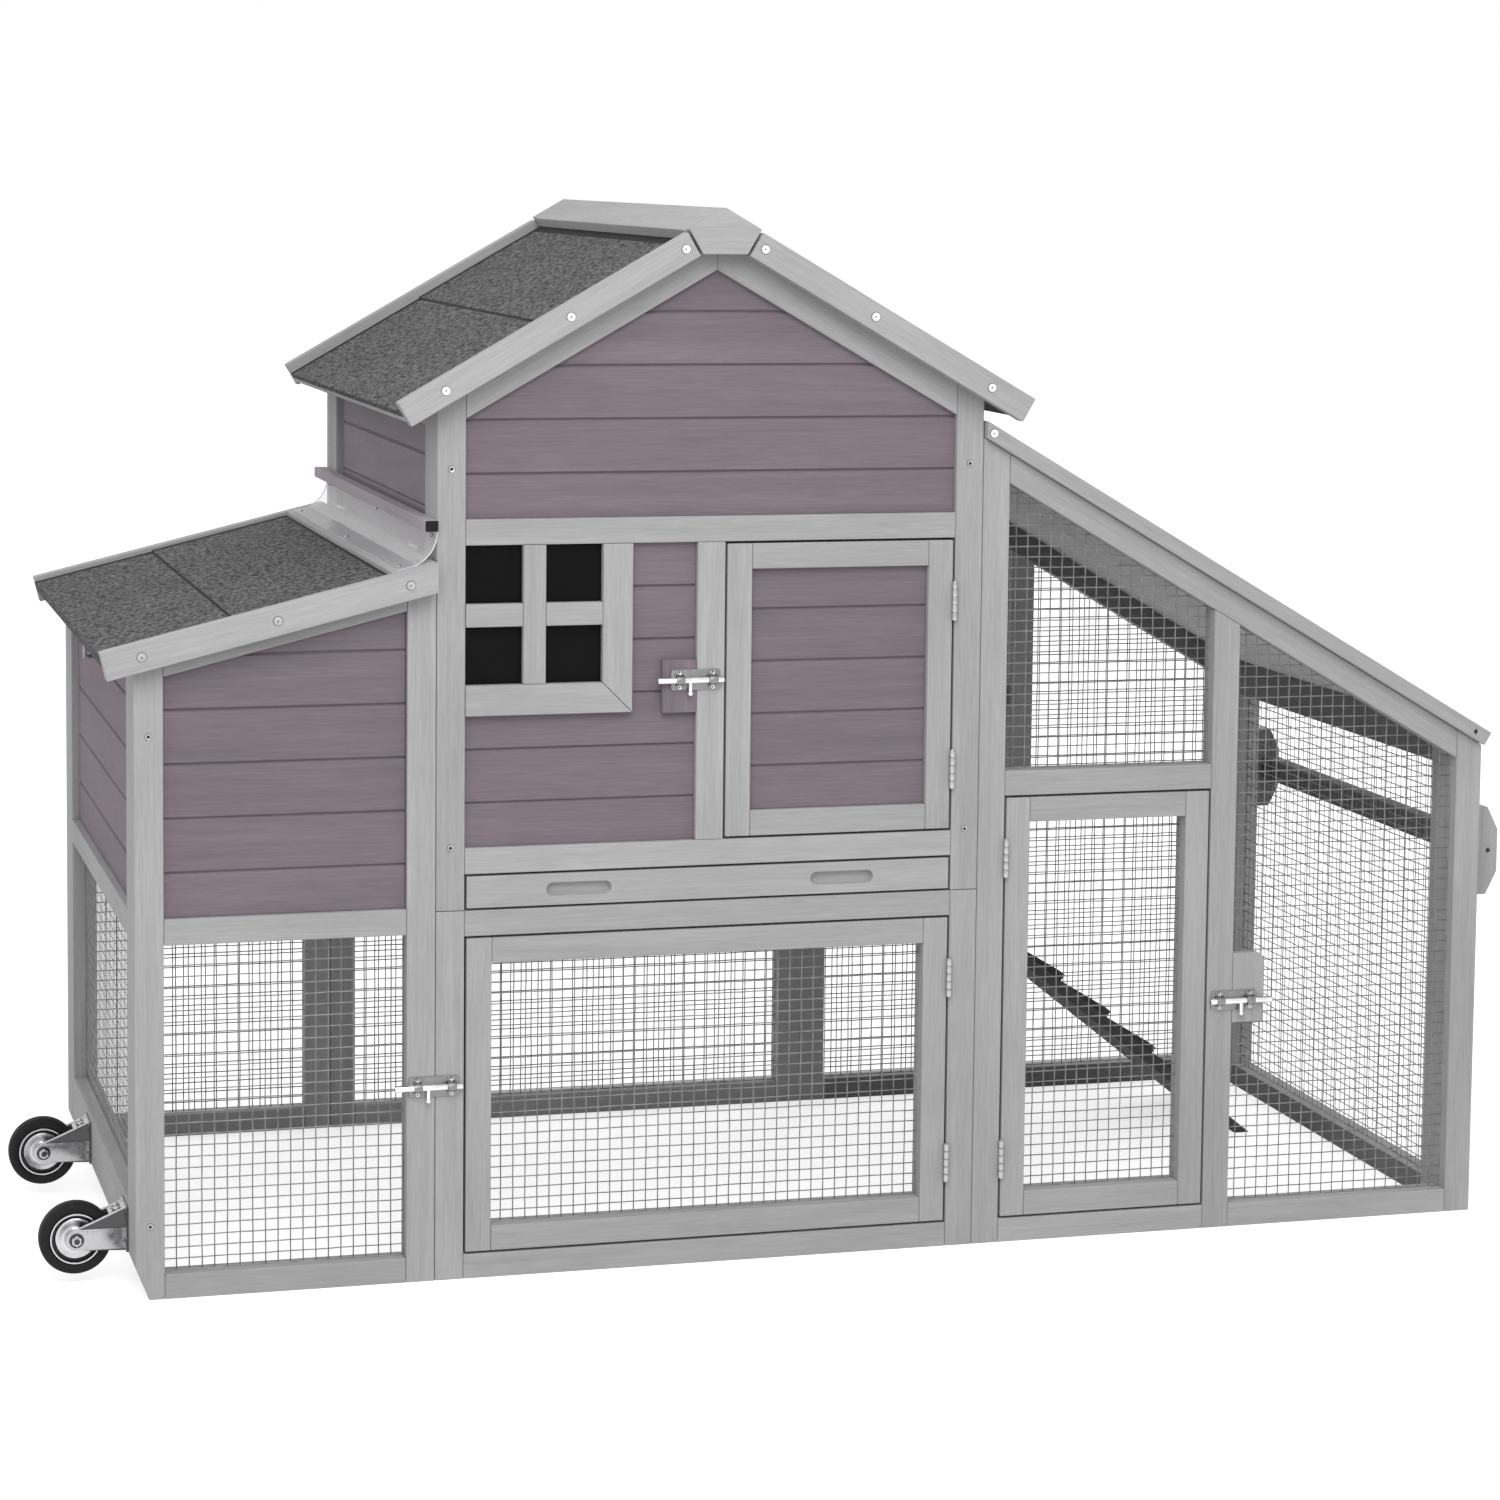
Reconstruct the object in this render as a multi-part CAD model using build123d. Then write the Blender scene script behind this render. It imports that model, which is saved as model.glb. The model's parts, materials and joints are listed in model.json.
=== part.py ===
from build123d import *
import math
import os

# A wooden chicken coop: nest wing on the left, raised house in the middle, lean-to run on the right.
# Lengths are millimetres and angles degrees. While it is built, x runs from the nest wing's outer face,
# y runs back from the front face and z up from the ground. At the end everything is moved so that the
# origin lies on the ground under the middle of the whole coop.

# Modules and levels
NEST_WIDTH = 312.0
HOUSE_WIDTH = 594.0
RUN_WIDTH = 594.0
DEPTH = 690.0
HOUSE_FLOOR = 392.0        # top of the ground-floor frames, under the tray
NEST_FLOOR = 396.0
WALL_TOP = 923.5           # underside of the main roof at the house's outer faces
LID_TOP = 756.0            # felt of the nest lid where it meets the house wall
RUN_ROOF_DROP = 25.5       # the run roof's felt starts this far below WALL_TOP

# Timber sections
POST = 30.0
FRAME_T = 28.0             # thickness of every wall frame and door
RAIL = 27.0
BOTTOM_RAIL = 26.0
SIDE_STILE = 38.0
DOOR_STILE = 27.0
END_RAIL = 44.0            # each of the two rails that carry the casters
LID_RAIL = 45.0            # rail on the house wall that carries the lid's hinges
RAKE_RAIL = 30.0           # sloping rails along the tops of the gables
BOARD_T = 10.0
BOARD_PITCH = 56.0
FIRST_BOARD = 46.0         # visible height of the lowest board
BOARD_RECESS = 8.0         # boards lie this far behind the face of their frame
GROOVE_WIDTH = 4.0
GROOVE_DEPTH = 3.0
NOSE_X = 14.0              # bevel under the left end, for tipping the coop onto its casters
NOSE_Z = 34.0

# Welded mesh
MESH_PITCH = 33.0          # coarser than the real half-inch mesh, to keep the model light
WIRE = 1.2
MESH_INSET = 14.0          # wires lie this far behind the face of their frame

# Clearances
SEAM = 0.6                 # between modules and between storeys
JOINT_GAP = 0.3            # between the sticks of one frame
REST_GAP = 0.4             # under a lid, roof or tray
DOOR_GAP = 2.5             # round doors, tray front and lid
RUNNING = 0.08             # radial play of pins and axles
SLIDE_GAP = 0.3            # play of bolt rods and of hinge knuckles

# Roofs
ROOF_ANGLE = 30.0
LID_ANGLE = 13.8
RUN_ROOF_ANGLE = 30.5
FELT_T = 2.0
ROOF_BOARD_T = 12.0
LID_BOARD_T = 10.0
EAVE_OVERHANG = 41.5
GABLE_OVERHANG = 32.0
BARGE_T = 18.0
BARGE_WIDTH = 28.0
BARGE_UPSTAND = 10.0       # barge boards stand this far above the felt
RIDGE_BOARD = 40.0
RIDGE_BOARD_T = 12.0
BARGE_START = 41.0         # barge boards start this far down the slope, beside the ridge's end plates
PLATE_GAP = 3.0            # between the ridge's end plates and the ends of the barge boards
LID_EAVE = 35.0
LID_OVERHANG = 24.0
LID_UPSTAND = 4.0
LID_BARGE = 30.0
LID_STRIP = 45.0           # bare strip along the lid's upper edge
RUN_EAVE = 6.0
RUN_OVERHANG = 10.0
RUN_EDGE_UP = 2.0

# House front
UPPER_DOOR_WIDTH = 250.0
UPPER_DOOR_HEIGHT = 312.0
WINDOW_TO_PAD = 33.1       # from the window's trim to the upper bolt's pad; the window is square
WINDOW_TRIM = 32.0
GLAZING_BAR = 24.0
TRIM_T = 10.0
PANE_T = 2.0

# Inside of the house and nest
FLOOR_T = 10.0
PARTITION_HEIGHT = 170.0
PARTITION_RAKE = 56.0
SILL_BOARD = 56.0          # board that keeps bedding in the house, below the nest openings
POP_HOLE_WIDTH = 200.0
POP_HOLE_TOP = 690.0
POP_HOLE_FROM_BACK = 205.0  # from the back face to the middle of the pop hole and ramp
PERCH_WIDTH = 28.0
PERCH_HEIGHT = 22.0
PERCH_ROUND = 7.0
PERCH_FROM_WALL = 60.0
PERCH_Z = 540.0
RUNNER = 24.0
RUNNER_T = 12.0

# Tray
TRAY_FRONT = 33.5
TRAY_FRONT_T = 16.0
TRAY_DEPTH = 26.0
TRAY_SHEET = 1.5
TRAY_BACK_GAP = 10.0
FINGER_LENGTH = 70.0
FINGER_HEIGHT = 14.0
FINGER_DEPTH = 8.0
FINGER_FROM_END = 120.0

# Run
RUN_DOOR_WIDTH = 235.0
RUN_DOOR_HEIGHT = 462.0
RAMP_RUN = 490.0
RAMP_WIDTH = 200.0
RAMP_T = 12.0
CLEAT = 10.0
CLEAT_PITCH = 76.0

# Lifting handle on the right end
HANDLE_Z = 406.0
HANDLE_HEIGHT = 100.0
HANDLE_REACH = 37.0
HANDLE_CUT_X = 13.0
HANDLE_CUT_Z = 26.0
HANDLE_PLATE_T = 18.0
HANDLE_BAR = 28.0
HANDLE_BAR_T = 22.0
HANDLE_ROUND = 4.0

# Hinges
HINGE_LENGTH = 42.0
HINGE_LEAF = 15.0
LEAF_T = 1.0
KNUCKLE_R = 3.2
PIN_R = 1.5
HINGE_INSET = 65.0         # hinge centre from the end of its door
LID_HINGE_INSET = 120.0

# Barrel bolts
BOLT_R = 3.5
BOLT_LENGTH = 72.0
BOLT_PLATE = 54.0
BOLT_PLATE_HEIGHT = 22.0
BOLT_PLATE_T = 1.5
BOLT_THROW = 14.0
BOLT_SHY = 2.0             # a drawn bolt stops this far short of the door's gap
STRAP = 9.0
STRAP_T = 1.6
KNOB = 5.0
KNOB_LENGTH = 17.0
PAD_WIDTH = 37.0
UPPER_PAD = 56.0
UPPER_PAD_BELOW = 35.0     # part of the upper pad that lies below the bolt
RUN_PAD = 78.0
RUN_PAD_BELOW = 26.0       # part of the run pad that lies below the bolt
RUN_PAD_T = 12.0
RUN_PAD_CORNER = 10.0
UPPER_BOLT_Z = 629.0
LOWER_BOLT_Z = 208.0
RUN_BOLT_Z = 256.0

# Lid hook and flashing
HOOK_FROM_EAVE = 22.0
HOOK_LENGTH = 34.0
HOOK_WIDTH = 8.0
HOOK_T = 3.0
HOOK_LIP = 6.5
LUG_T = 3.0
LUG_DROP = 7.0
CATCH = 8.0
BATTEN_RISE = 34.0         # underside of the batten above LID_TOP
BATTEN_HEIGHT = 12.0
BATTEN_T = 14.0
BATTEN_OVERHANG = 8.0
FLASHING_T = 1.0

# Casters
WHEEL_R = 38.0
WHEEL_X = 53.0
WHEEL_Z = 48.0
FRONT_CASTER_Y = 85.0
BACK_CASTER_Y = 450.0
RIM_R = 27.0
RIM_WIDTH = 18.0
TYRE_WIDTH = 22.0
AXLE_R = 4.0
FORK_PLATE_HEIGHT = 48.0
FORK_PLATE_WIDTH = 46.0
FORK_SHEET = 2.5
FORK_EYE_R = 11.0
FORK_SIDE_GAP = 1.5


def block(x, y, z):
    """A box between pairs of limits."""
    corner = (Align.MIN, Align.MIN, Align.MIN)
    return Pos(x[0], y[0], z[0]) * Box(x[1] - x[0], y[1] - y[0], z[1] - z[0], align=corner)


def prism(outline, axis, limits):
    """An outline in the two other axes, extruded along the named one, x or y."""
    low, high = limits
    if axis == "x":
        corners = [(low, a, b) for a, b in outline]
        way = (1, 0, 0)
    else:
        corners = [(a, low, b) for a, b in outline]
        way = (0, 1, 0)
    face = make_face(Polyline(*corners, close=True))
    return extrude(face, amount=high - low, dir=way)


def rod(axis, centre, radius, limits):
    """A cylinder along the named axis, between limits on that axis."""
    low, high = limits
    turn = {"x": Rot(0, 90, 0), "y": Rot(-90, 0, 0), "z": Rot(0, 0, 0)}[axis]
    a, b = centre
    start = {"x": Pos(low, a, b), "y": Pos(a, low, b), "z": Pos(a, b, low)}[axis]
    upright = (Align.CENTER, Align.CENTER, Align.MIN)
    return start * turn * Cylinder(radius, high - low, align=upright)


class Slope:
    """A roof plane seen from the front: a point on it, its pitch, and the side (-1 or 1) it falls to."""

    def __init__(self, x, z, pitch, side):
        self.x = x
        self.z = z
        self.side = side
        self.cos = math.cos(math.radians(pitch))
        self.sin = math.sin(math.radians(pitch))

    def at(self, x, rise=0.0):
        """Height at x of the plane that lies this far above the roof plane."""
        return self.z - self.side * (x - self.x) * self.sin / self.cos + rise / self.cos

    def along(self, run, rise=0.0):
        """The point this far down the slope and this far above the roof plane."""
        x = self.x + self.side * (run * self.cos + rise * self.sin)
        return (x, self.z - run * self.sin + rise * self.cos)

    def band(self, x_top, run, low, high):
        """Outline between two rises, cut upright at x_top and square to the slope at its lower end."""
        return [(x_top, self.at(x_top, high)), self.along(run, high), self.along(run, low),
                (x_top, self.at(x_top, low))]

    def plank(self, run, low, high):
        """Outline between two rises, cut square to the slope at both distances down it."""
        return [self.along(run[0], high), self.along(run[1], high), self.along(run[1], low),
                self.along(run[0], low)]

    def bar(self, x, low, high):
        """Outline between two rises, cut upright at both limits of x."""
        return [(x[0], self.at(x[0], low)), (x[1], self.at(x[1], low)),
                (x[1], self.at(x[1], high)), (x[0], self.at(x[0], high))]

    def under(self, x, z_low, rise):
        """Outline from a level foot up to the plane at this rise."""
        return [(x[0], z_low), (x[1], z_low), (x[1], self.at(x[1], rise)), (x[0], self.at(x[0], rise))]


def mirrored(shape):
    """The same shape at the back of the coop."""
    return mirror(shape, about=Plane.XZ.offset(-DEPTH / 2))


# Places worked out from the sizes above
nest_right = NEST_WIDTH - SEAM
house_left = NEST_WIDTH
house_right = NEST_WIDTH + HOUSE_WIDTH - SEAM
run_left = NEST_WIDTH + HOUSE_WIDTH
run_right = run_left + RUN_WIDTH
front = (0.0, FRAME_T)
back = (DEPTH - FRAME_T, DEPTH)
between = (FRAME_T + JOINT_GAP, DEPTH - FRAME_T - JOINT_GAP)
front_stile = (between[0], between[0] + SIDE_STILE)
back_stile = (between[1] - SIDE_STILE, between[1])
wall_bay = (front_stile[1] + JOINT_GAP, back_stile[0] - JOINT_GAP)
middle_y = DEPTH / 2
pop_hole_y = DEPTH - POP_HOLE_FROM_BACK

ridge_x = (house_left + house_right) / 2
roof_t = FELT_T + ROOF_BOARD_T
roof_under = -roof_t - REST_GAP
roof_cos = math.cos(math.radians(ROOF_ANGLE))
ridge_z = WALL_TOP + HOUSE_WIDTH / 2 * math.tan(math.radians(ROOF_ANGLE)) + roof_t / roof_cos
roofs = [Slope(ridge_x, ridge_z, ROOF_ANGLE, side) for side in (-1, 1)]
roof_left, roof_right = roofs
roof_run = (HOUSE_WIDTH / 2 + EAVE_OVERHANG) / roof_cos

lid = Slope(NEST_WIDTH, LID_TOP, LID_ANGLE, -1)
lid_under = -FELT_T - LID_BOARD_T
lid_rest = lid_under - REST_GAP
lid_end = NEST_WIDTH - DOOR_GAP
lid_run = (NEST_WIDTH + LID_EAVE) / lid.cos
lid_rail_top = lid.at(lid_end, LID_UPSTAND)
batten_z = LID_TOP + BATTEN_RISE

run_roof = Slope(run_left, WALL_TOP - RUN_ROOF_DROP, RUN_ROOF_ANGLE, 1)
run_rest = -roof_t - REST_GAP
run_run = (RUN_WIDTH + RUN_EAVE) / run_roof.cos

house_bay = (house_left + POST, house_right - POST)
tray_bottom = HOUSE_FLOOR + DOOR_GAP
sill = (tray_bottom + TRAY_FRONT + DOOR_GAP, tray_bottom + TRAY_FRONT + DOOR_GAP + RAIL)
upper_door_z = (sill[1] + DOOR_GAP, sill[1] + DOOR_GAP + UPPER_DOOR_HEIGHT)
gable_rail = (upper_door_z[1] + DOOR_GAP, upper_door_z[1] + DOOR_GAP + RAIL)
upper_door_x = (house_bay[1] - DOOR_GAP - UPPER_DOOR_WIDTH, house_bay[1] - DOOR_GAP)
mullion = (upper_door_x[0] - DOOR_GAP - POST, upper_door_x[0] - DOOR_GAP)
upper_pad_x = (mullion[0] - JOINT_GAP - PAD_WIDTH, mullion[0] - JOINT_GAP)
window_x = (house_bay[0], upper_pad_x[0] - WINDOW_TO_PAD - WINDOW_TRIM)
window_z = (gable_rail[0] - (window_x[1] - window_x[0]), gable_rail[0])
lower_door_x = (house_bay[0] + DOOR_GAP, house_bay[1] - DOOR_GAP)
lower_door_z = (BOTTOM_RAIL + DOOR_GAP, HOUSE_FLOOR - RAIL - DOOR_GAP)

run_door_x = (run_left + POST + DOOR_GAP, run_left + POST + DOOR_GAP + RUN_DOOR_WIDTH)
run_door_z = (BOTTOM_RAIL + DOOR_GAP, BOTTOM_RAIL + DOOR_GAP + RUN_DOOR_HEIGHT)
run_mid = (run_door_x[1] + DOOR_GAP, run_door_x[1] + DOOR_GAP + POST)
run_mid_rail = (run_door_z[1] + DOOR_GAP, run_door_z[1] + DOOR_GAP + RAIL)
run_top_low = run_rest - RAIL

hinge_proud = KNUCKLE_R + SLIDE_GAP
bolt_y = -BOLT_PLATE_T - 2 * SLIDE_GAP - BOLT_R


def inner(limits, gap=JOINT_GAP):
    """Limits drawn in by a gap at both ends."""
    return (limits[0] + gap, limits[1] - gap)


def boards(axis, face, inward, limits, z):
    """Level boards with V-grooves along the named axis, their outer face at the given place."""
    profile = [(face + inward * BOARD_T, z[0]), (face, z[0])]
    groove_z = z[0] + FIRST_BOARD
    while groove_z < z[1] - GROOVE_WIDTH:
        profile.append((face, groove_z - GROOVE_WIDTH / 2))
        profile.append((face + inward * GROOVE_DEPTH, groove_z))
        profile.append((face, groove_z + GROOVE_WIDTH / 2))
        groove_z += BOARD_PITCH
    profile += [(face, z[1]), (face + inward * BOARD_T, z[1])]
    return prism(profile, axis, limits)


def wire_places(low, high):
    """Centres of the wires that fit between two limits, spread evenly from the middle."""
    count = int((high - low - 3 * WIRE) // MESH_PITCH)
    first = (low + high - count * MESH_PITCH) / 2
    return [first + step * MESH_PITCH for step in range(count + 1)]


def mesh(axis, face, inward, limits, z_low, top):
    """Welded mesh under a straight top edge: a layer of upright wires and one of level wires.

    Each layer is one comb, its wires joined at one end by the selvedge wire. The axis is the one along
    which the mesh runs, and top holds the heights of the top edge at both limits.
    """
    low, high = inner(limits)
    z_low = z_low + JOINT_GAP
    fall = (top[0] - top[1]) / (limits[1] - limits[0])
    half = WIRE / 2

    def top_at(place):
        return top[0] - fall * (place - limits[0]) - JOINT_GAP

    def reach(z):
        return high if z <= top_at(high) else low + (top_at(low) - z) / fall

    upright = [(low, z_low), (high, z_low), (high, z_low + WIRE)]
    for place in reversed(wire_places(low, high)):
        tip = min(top_at(place - half), top_at(place + half))
        upright += [(place + half, z_low + WIRE), (place + half, tip)]
        upright += [(place - half, tip), (place - half, z_low + WIRE)]
    upright.append((low, z_low + WIRE))

    edge = low + WIRE
    level = [(low, z_low), (edge, z_low)]
    for z in wire_places(z_low, top_at(edge)):
        tip = reach(z + half)
        if tip > edge + WIRE:
            level += [(edge, z - half), (tip, z - half), (tip, z + half), (edge, z + half)]
    level += [(edge, top_at(edge)), (low, top_at(edge))]

    along = "y" if axis == "x" else "x"
    layers = []
    for order, outline in enumerate((upright, level)):
        ends = sorted((face + inward * order * WIRE, face + inward * (order + 1) * WIRE))
        layers.append(prism(outline, along, ends))
    return layers


# Nest wing
nest_end_top = lid.at(0.0, lid_rest) - RAIL


def nest_frame(y):
    """Front or back frame of the nest wing, under the sloping lid."""
    span = inner((POST, nest_right - POST))
    post_top = lid.under((0.0, POST), 0.0, lid_rest)
    left_post = prism([(NOSE_X, 0.0)] + post_top[1:] + [(0.0, NOSE_Z)], "y", y)
    return [
        left_post,
        prism(lid.under((nest_right - POST, nest_right), 0.0, lid_rest), "y", y),
        prism(lid.bar(span, lid_rest - RAIL, lid_rest), "y", y),
        block(span, y, (NEST_FLOOR - RAIL, NEST_FLOOR)),
        block(span, y, (0.0, BOTTOM_RAIL)),
    ]


def nest_end_frame():
    """Left end: stiles, top and middle rails, and the two rails that carry the casters."""
    foot = [(NOSE_X, 0.0), (FRAME_T, 0.0)]
    top = [(FRAME_T, lid.at(FRAME_T, lid_rest)), (0.0, lid.at(0.0, lid_rest))]
    stile = foot + top + [(0.0, NOSE_Z)]
    bottom = foot + [(FRAME_T, END_RAIL), (0.0, END_RAIL), (0.0, NOSE_Z)]
    top_rail = [(0.0, nest_end_top), (FRAME_T, nest_end_top)] + top
    return [
        prism(stile, "y", front_stile),
        prism(stile, "y", back_stile),
        prism(bottom, "y", wall_bay),
        block((0.0, FRAME_T), wall_bay, (END_RAIL + JOINT_GAP, 2 * END_RAIL)),
        block((0.0, FRAME_T), wall_bay, (NEST_FLOOR - RAIL, NEST_FLOOR)),
        prism(top_rail, "y", wall_bay),
    ]


def nest_boards():
    """Boarded panels of the front, back and left end."""
    x = inner((POST, nest_right - POST), 2 * JOINT_GAP)
    z_low = NEST_FLOOR + JOINT_GAP
    panel = boards("x", BOARD_RECESS, 1, x, (z_low, lid.at(x[1])))
    panel = panel & prism(lid.under(x, z_low, lid_rest - RAIL - JOINT_GAP), "y", front)
    end = boards("y", BOARD_RECESS, 1, inner(wall_bay), (z_low, nest_end_top - JOINT_GAP))
    return [panel, mirrored(panel), end]


def nest_mesh():
    """Mesh below the boards of the front, back and left end."""
    top = NEST_FLOOR - RAIL
    x = (POST + JOINT_GAP, nest_right - POST - JOINT_GAP)
    layers = mesh("x", MESH_INSET, 1, x, BOTTOM_RAIL, (top, top))
    end = mesh("y", MESH_INSET, 1, wall_bay, 2 * END_RAIL, (top, top))
    return layers + [mirrored(layer) for layer in layers] + end


def nest_floor():
    x = (FRAME_T + JOINT_GAP, NEST_WIDTH - JOINT_GAP)
    return [block(x, between, (NEST_FLOOR - FLOOR_T, NEST_FLOOR))]


def nest_partition():
    """Low board between the two nests, with its house end raked back."""
    x = (FRAME_T + JOINT_GAP, NEST_WIDTH - JOINT_GAP)
    z = (NEST_FLOOR + JOINT_GAP, NEST_FLOOR + PARTITION_HEIGHT)
    outline = [(x[0], z[0]), (x[1], z[0]), (x[1], z[1] - PARTITION_RAKE),
               (x[1] - PARTITION_RAKE, z[1]), (x[0], z[1])]
    return [prism(outline, "y", (middle_y - BOARD_T / 2, middle_y + BOARD_T / 2))]


# Nest lid
lid_y = (-LID_OVERHANG + BARGE_T, DEPTH + LID_OVERHANG - BARGE_T)
strip_edge = lid_end - LID_STRIP


def nest_lid_boards():
    return [prism(lid.band(lid_end, lid_run, lid_under, -FELT_T), "y", inner(lid_y))]


def nest_lid_felt():
    return [prism(lid.band(strip_edge - JOINT_GAP, lid_run, -FELT_T, 0.0), "y", inner(lid_y))]


def nest_lid_trim():
    """Barge boards at the front and back, and the bare strip along the upper edge."""
    barge = prism(lid.band(lid_end, lid_run, LID_UPSTAND - LID_BARGE, LID_UPSTAND), "y",
                  (-LID_OVERHANG, lid_y[0]))
    strip = prism(lid.bar((strip_edge, lid_end), -FELT_T, LID_UPSTAND), "y", inner(lid_y))
    return [barge, mirrored(barge), strip]


# House
def house_post(x, slope, z_low, y):
    return prism(slope.under(x, z_low, roof_under), "y", y)


left_post_x = (house_left, house_left + POST)
right_post_x = (house_right - POST, house_right)
house_span = inner(house_bay)


def gable_rails():
    """The two sloping rails under the main roof that meet at the ridge, at the front."""
    left = (house_span[0], ridge_x - JOINT_GAP / 2)
    right = (ridge_x + JOINT_GAP / 2, house_span[1])
    return [prism(slope.bar(x, roof_under - RAKE_RAIL, roof_under), "y", front)
            for slope, x in ((roof_left, left), (roof_right, right))]


def house_front_frame():
    """Upper front frame: posts up to the roof, gable rails, mullion and sill rail."""
    foot = HOUSE_FLOOR + SEAM
    return gable_rails() + [
        house_post(left_post_x, roof_left, foot, front),
        house_post(right_post_x, roof_right, foot, front),
        block(house_span, front, gable_rail),
        block(house_span, front, sill),
        block(mullion, front, inner((sill[1], gable_rail[0]))),
    ]


def gable_boards():
    """The boarded triangle inside the gable rails, at the front."""
    low = gable_rail[1] + JOINT_GAP
    rise = roof_under - RAKE_RAIL - JOINT_GAP
    peak = (ridge_x, roof_left.at(ridge_x, rise))
    outline = [(house_span[0], low), (house_span[1], low),
               (house_span[1], roof_right.at(house_span[1], rise)), peak,
               (house_span[0], roof_left.at(house_span[0], rise))]
    return boards("x", BOARD_RECESS, 1, house_span, (low, peak[1])) & prism(outline, "y", front)


def house_front_boards():
    """Boards beside the door, cut out for the window, and the gable."""
    x = inner((house_bay[0], mullion[0]))
    panel = boards("x", BOARD_RECESS, 1, x, inner((sill[1], gable_rail[0])))
    cut = block((house_left, window_x[1]), front, (window_z[0], gable_rail[1]))
    return [panel - cut, gable_boards()]


def window_frame():
    """Mitred trim along the window's right and lower sides, and the crossed glazing bars."""
    y = (BOARD_RECESS - TRIM_T, BOARD_RECESS)
    x0, x1 = window_x[0] + JOINT_GAP, window_x[1]
    z0, z1 = window_z[0], window_z[1] - JOINT_GAP
    outer_x, outer_z = x1 + WINDOW_TRIM, z0 - WINDOW_TRIM
    middle_x, middle_z = (window_x[0] + x1) / 2, (z0 + window_z[1]) / 2
    half = GLAZING_BAR / 2
    stile = [(x1, z0 + JOINT_GAP), (outer_x, outer_z + JOINT_GAP), (outer_x, z1), (x1, z1)]
    rail = [(x0, outer_z), (outer_x - JOINT_GAP, outer_z), (x1 - JOINT_GAP, z0), (x0, z0)]
    bar_z = (middle_z - half, middle_z + half)
    return [
        prism(stile, "y", y),
        prism(rail, "y", y),
        block((middle_x - half, middle_x + half), y, (z0 + JOINT_GAP, z1)),
        block((x0, middle_x - half - JOINT_GAP), y, bar_z),
        block((middle_x + half + JOINT_GAP, x1 - JOINT_GAP), y, bar_z),
    ]


def window_pane():
    return [block(inner(window_x), (BOARD_RECESS, BOARD_RECESS + PANE_T), inner(window_z))]


def house_lower_frame():
    """Ground-floor front frame round the lower door."""
    return [
        block(left_post_x, front, (0.0, HOUSE_FLOOR)),
        block(right_post_x, front, (0.0, HOUSE_FLOOR)),
        block(house_span, front, (HOUSE_FLOOR - RAIL, HOUSE_FLOOR)),
        block(house_span, front, (0.0, BOTTOM_RAIL)),
    ]


def house_back_frame():
    return [mirrored(rail) for rail in gable_rails()] + [
        house_post(left_post_x, roof_left, 0.0, back),
        house_post(right_post_x, roof_right, 0.0, back),
        block(house_span, back, gable_rail),
        block(house_span, back, (HOUSE_FLOOR - RAIL, HOUSE_FLOOR)),
        block(house_span, back, (0.0, BOTTOM_RAIL)),
    ]


def house_back_boards():
    panel = boards("x", BOARD_RECESS, 1, house_span, inner((HOUSE_FLOOR, gable_rail[0])))
    return [mirrored(panel), mirrored(gable_boards())]


def house_back_mesh():
    top = HOUSE_FLOOR - RAIL
    return [mirrored(layer) for layer in mesh("x", MESH_INSET, 1, house_bay, BOTTOM_RAIL, (top, top))]


left_wall = (house_left, house_left + FRAME_T)
right_wall = (house_right - FRAME_T, house_right)
wall_rail_low = roof_left.at(house_left, roof_under) - RAIL
lid_rail = (lid_rail_top - LID_RAIL, lid_rail_top)


def side_frame(x, slope):
    """Bottom rail, stiles and top rail of a house side wall, between the front and back frames."""
    return [
        block(x, between, (HOUSE_FLOOR - RAIL, HOUSE_FLOOR)),
        prism(slope.under(x, HOUSE_FLOOR + JOINT_GAP, roof_under), "y", front_stile),
        prism(slope.under(x, HOUSE_FLOOR + JOINT_GAP, roof_under), "y", back_stile),
        prism(slope.under(x, wall_rail_low, roof_under), "y", wall_bay),
    ]


def house_side_frames():
    """Both side walls; the left one also has the lid rail and a stud between the nest openings."""
    stud = (middle_y - SIDE_STILE / 2, middle_y + SIDE_STILE / 2)
    return side_frame(left_wall, roof_left) + side_frame(right_wall, roof_right) + [
        block(left_wall, wall_bay, lid_rail),
        block(left_wall, stud, inner((HOUSE_FLOOR, lid_rail[0]))),
    ]


def house_side_boards():
    """Left: boards above the lid and a low board under each nest opening. Right: round the pop hole."""
    left_face = house_left + BOARD_RECESS
    right_face = house_right - BOARD_RECESS
    bay = inner(wall_bay)
    stud_half = SIDE_STILE / 2 + JOINT_GAP
    hole = (pop_hole_y - POP_HOLE_WIDTH / 2, pop_hole_y + POP_HOLE_WIDTH / 2)
    low = HOUSE_FLOOR + JOINT_GAP
    high = wall_rail_low - JOINT_GAP
    keep = (low, HOUSE_FLOOR + SILL_BOARD)
    return [
        boards("y", left_face, 1, bay, (lid_rail[1] + JOINT_GAP, high)),
        block((left_face, left_face + BOARD_T), (bay[0], middle_y - stud_half), keep),
        block((left_face, left_face + BOARD_T), (middle_y + stud_half, bay[1]), keep),
        boards("y", right_face, -1, (bay[0], hole[0] - JOINT_GAP), (low, high)),
        boards("y", right_face, -1, (hole[1] + JOINT_GAP, bay[1]), (low, high)),
        boards("y", right_face, -1, hole, (POP_HOLE_TOP, high)),
    ]


def tray_runners():
    """Three runners from front to back, level with the top of the lower frames."""
    z = (HOUSE_FLOOR - RUNNER_T, HOUSE_FLOOR)
    left = left_wall[1] + JOINT_GAP
    right = right_wall[0] - JOINT_GAP
    return [
        block((left, left + RUNNER), between, z),
        block((ridge_x - RUNNER / 2, ridge_x + RUNNER / 2), between, z),
        block((right - RUNNER, right), between, z),
    ]


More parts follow.
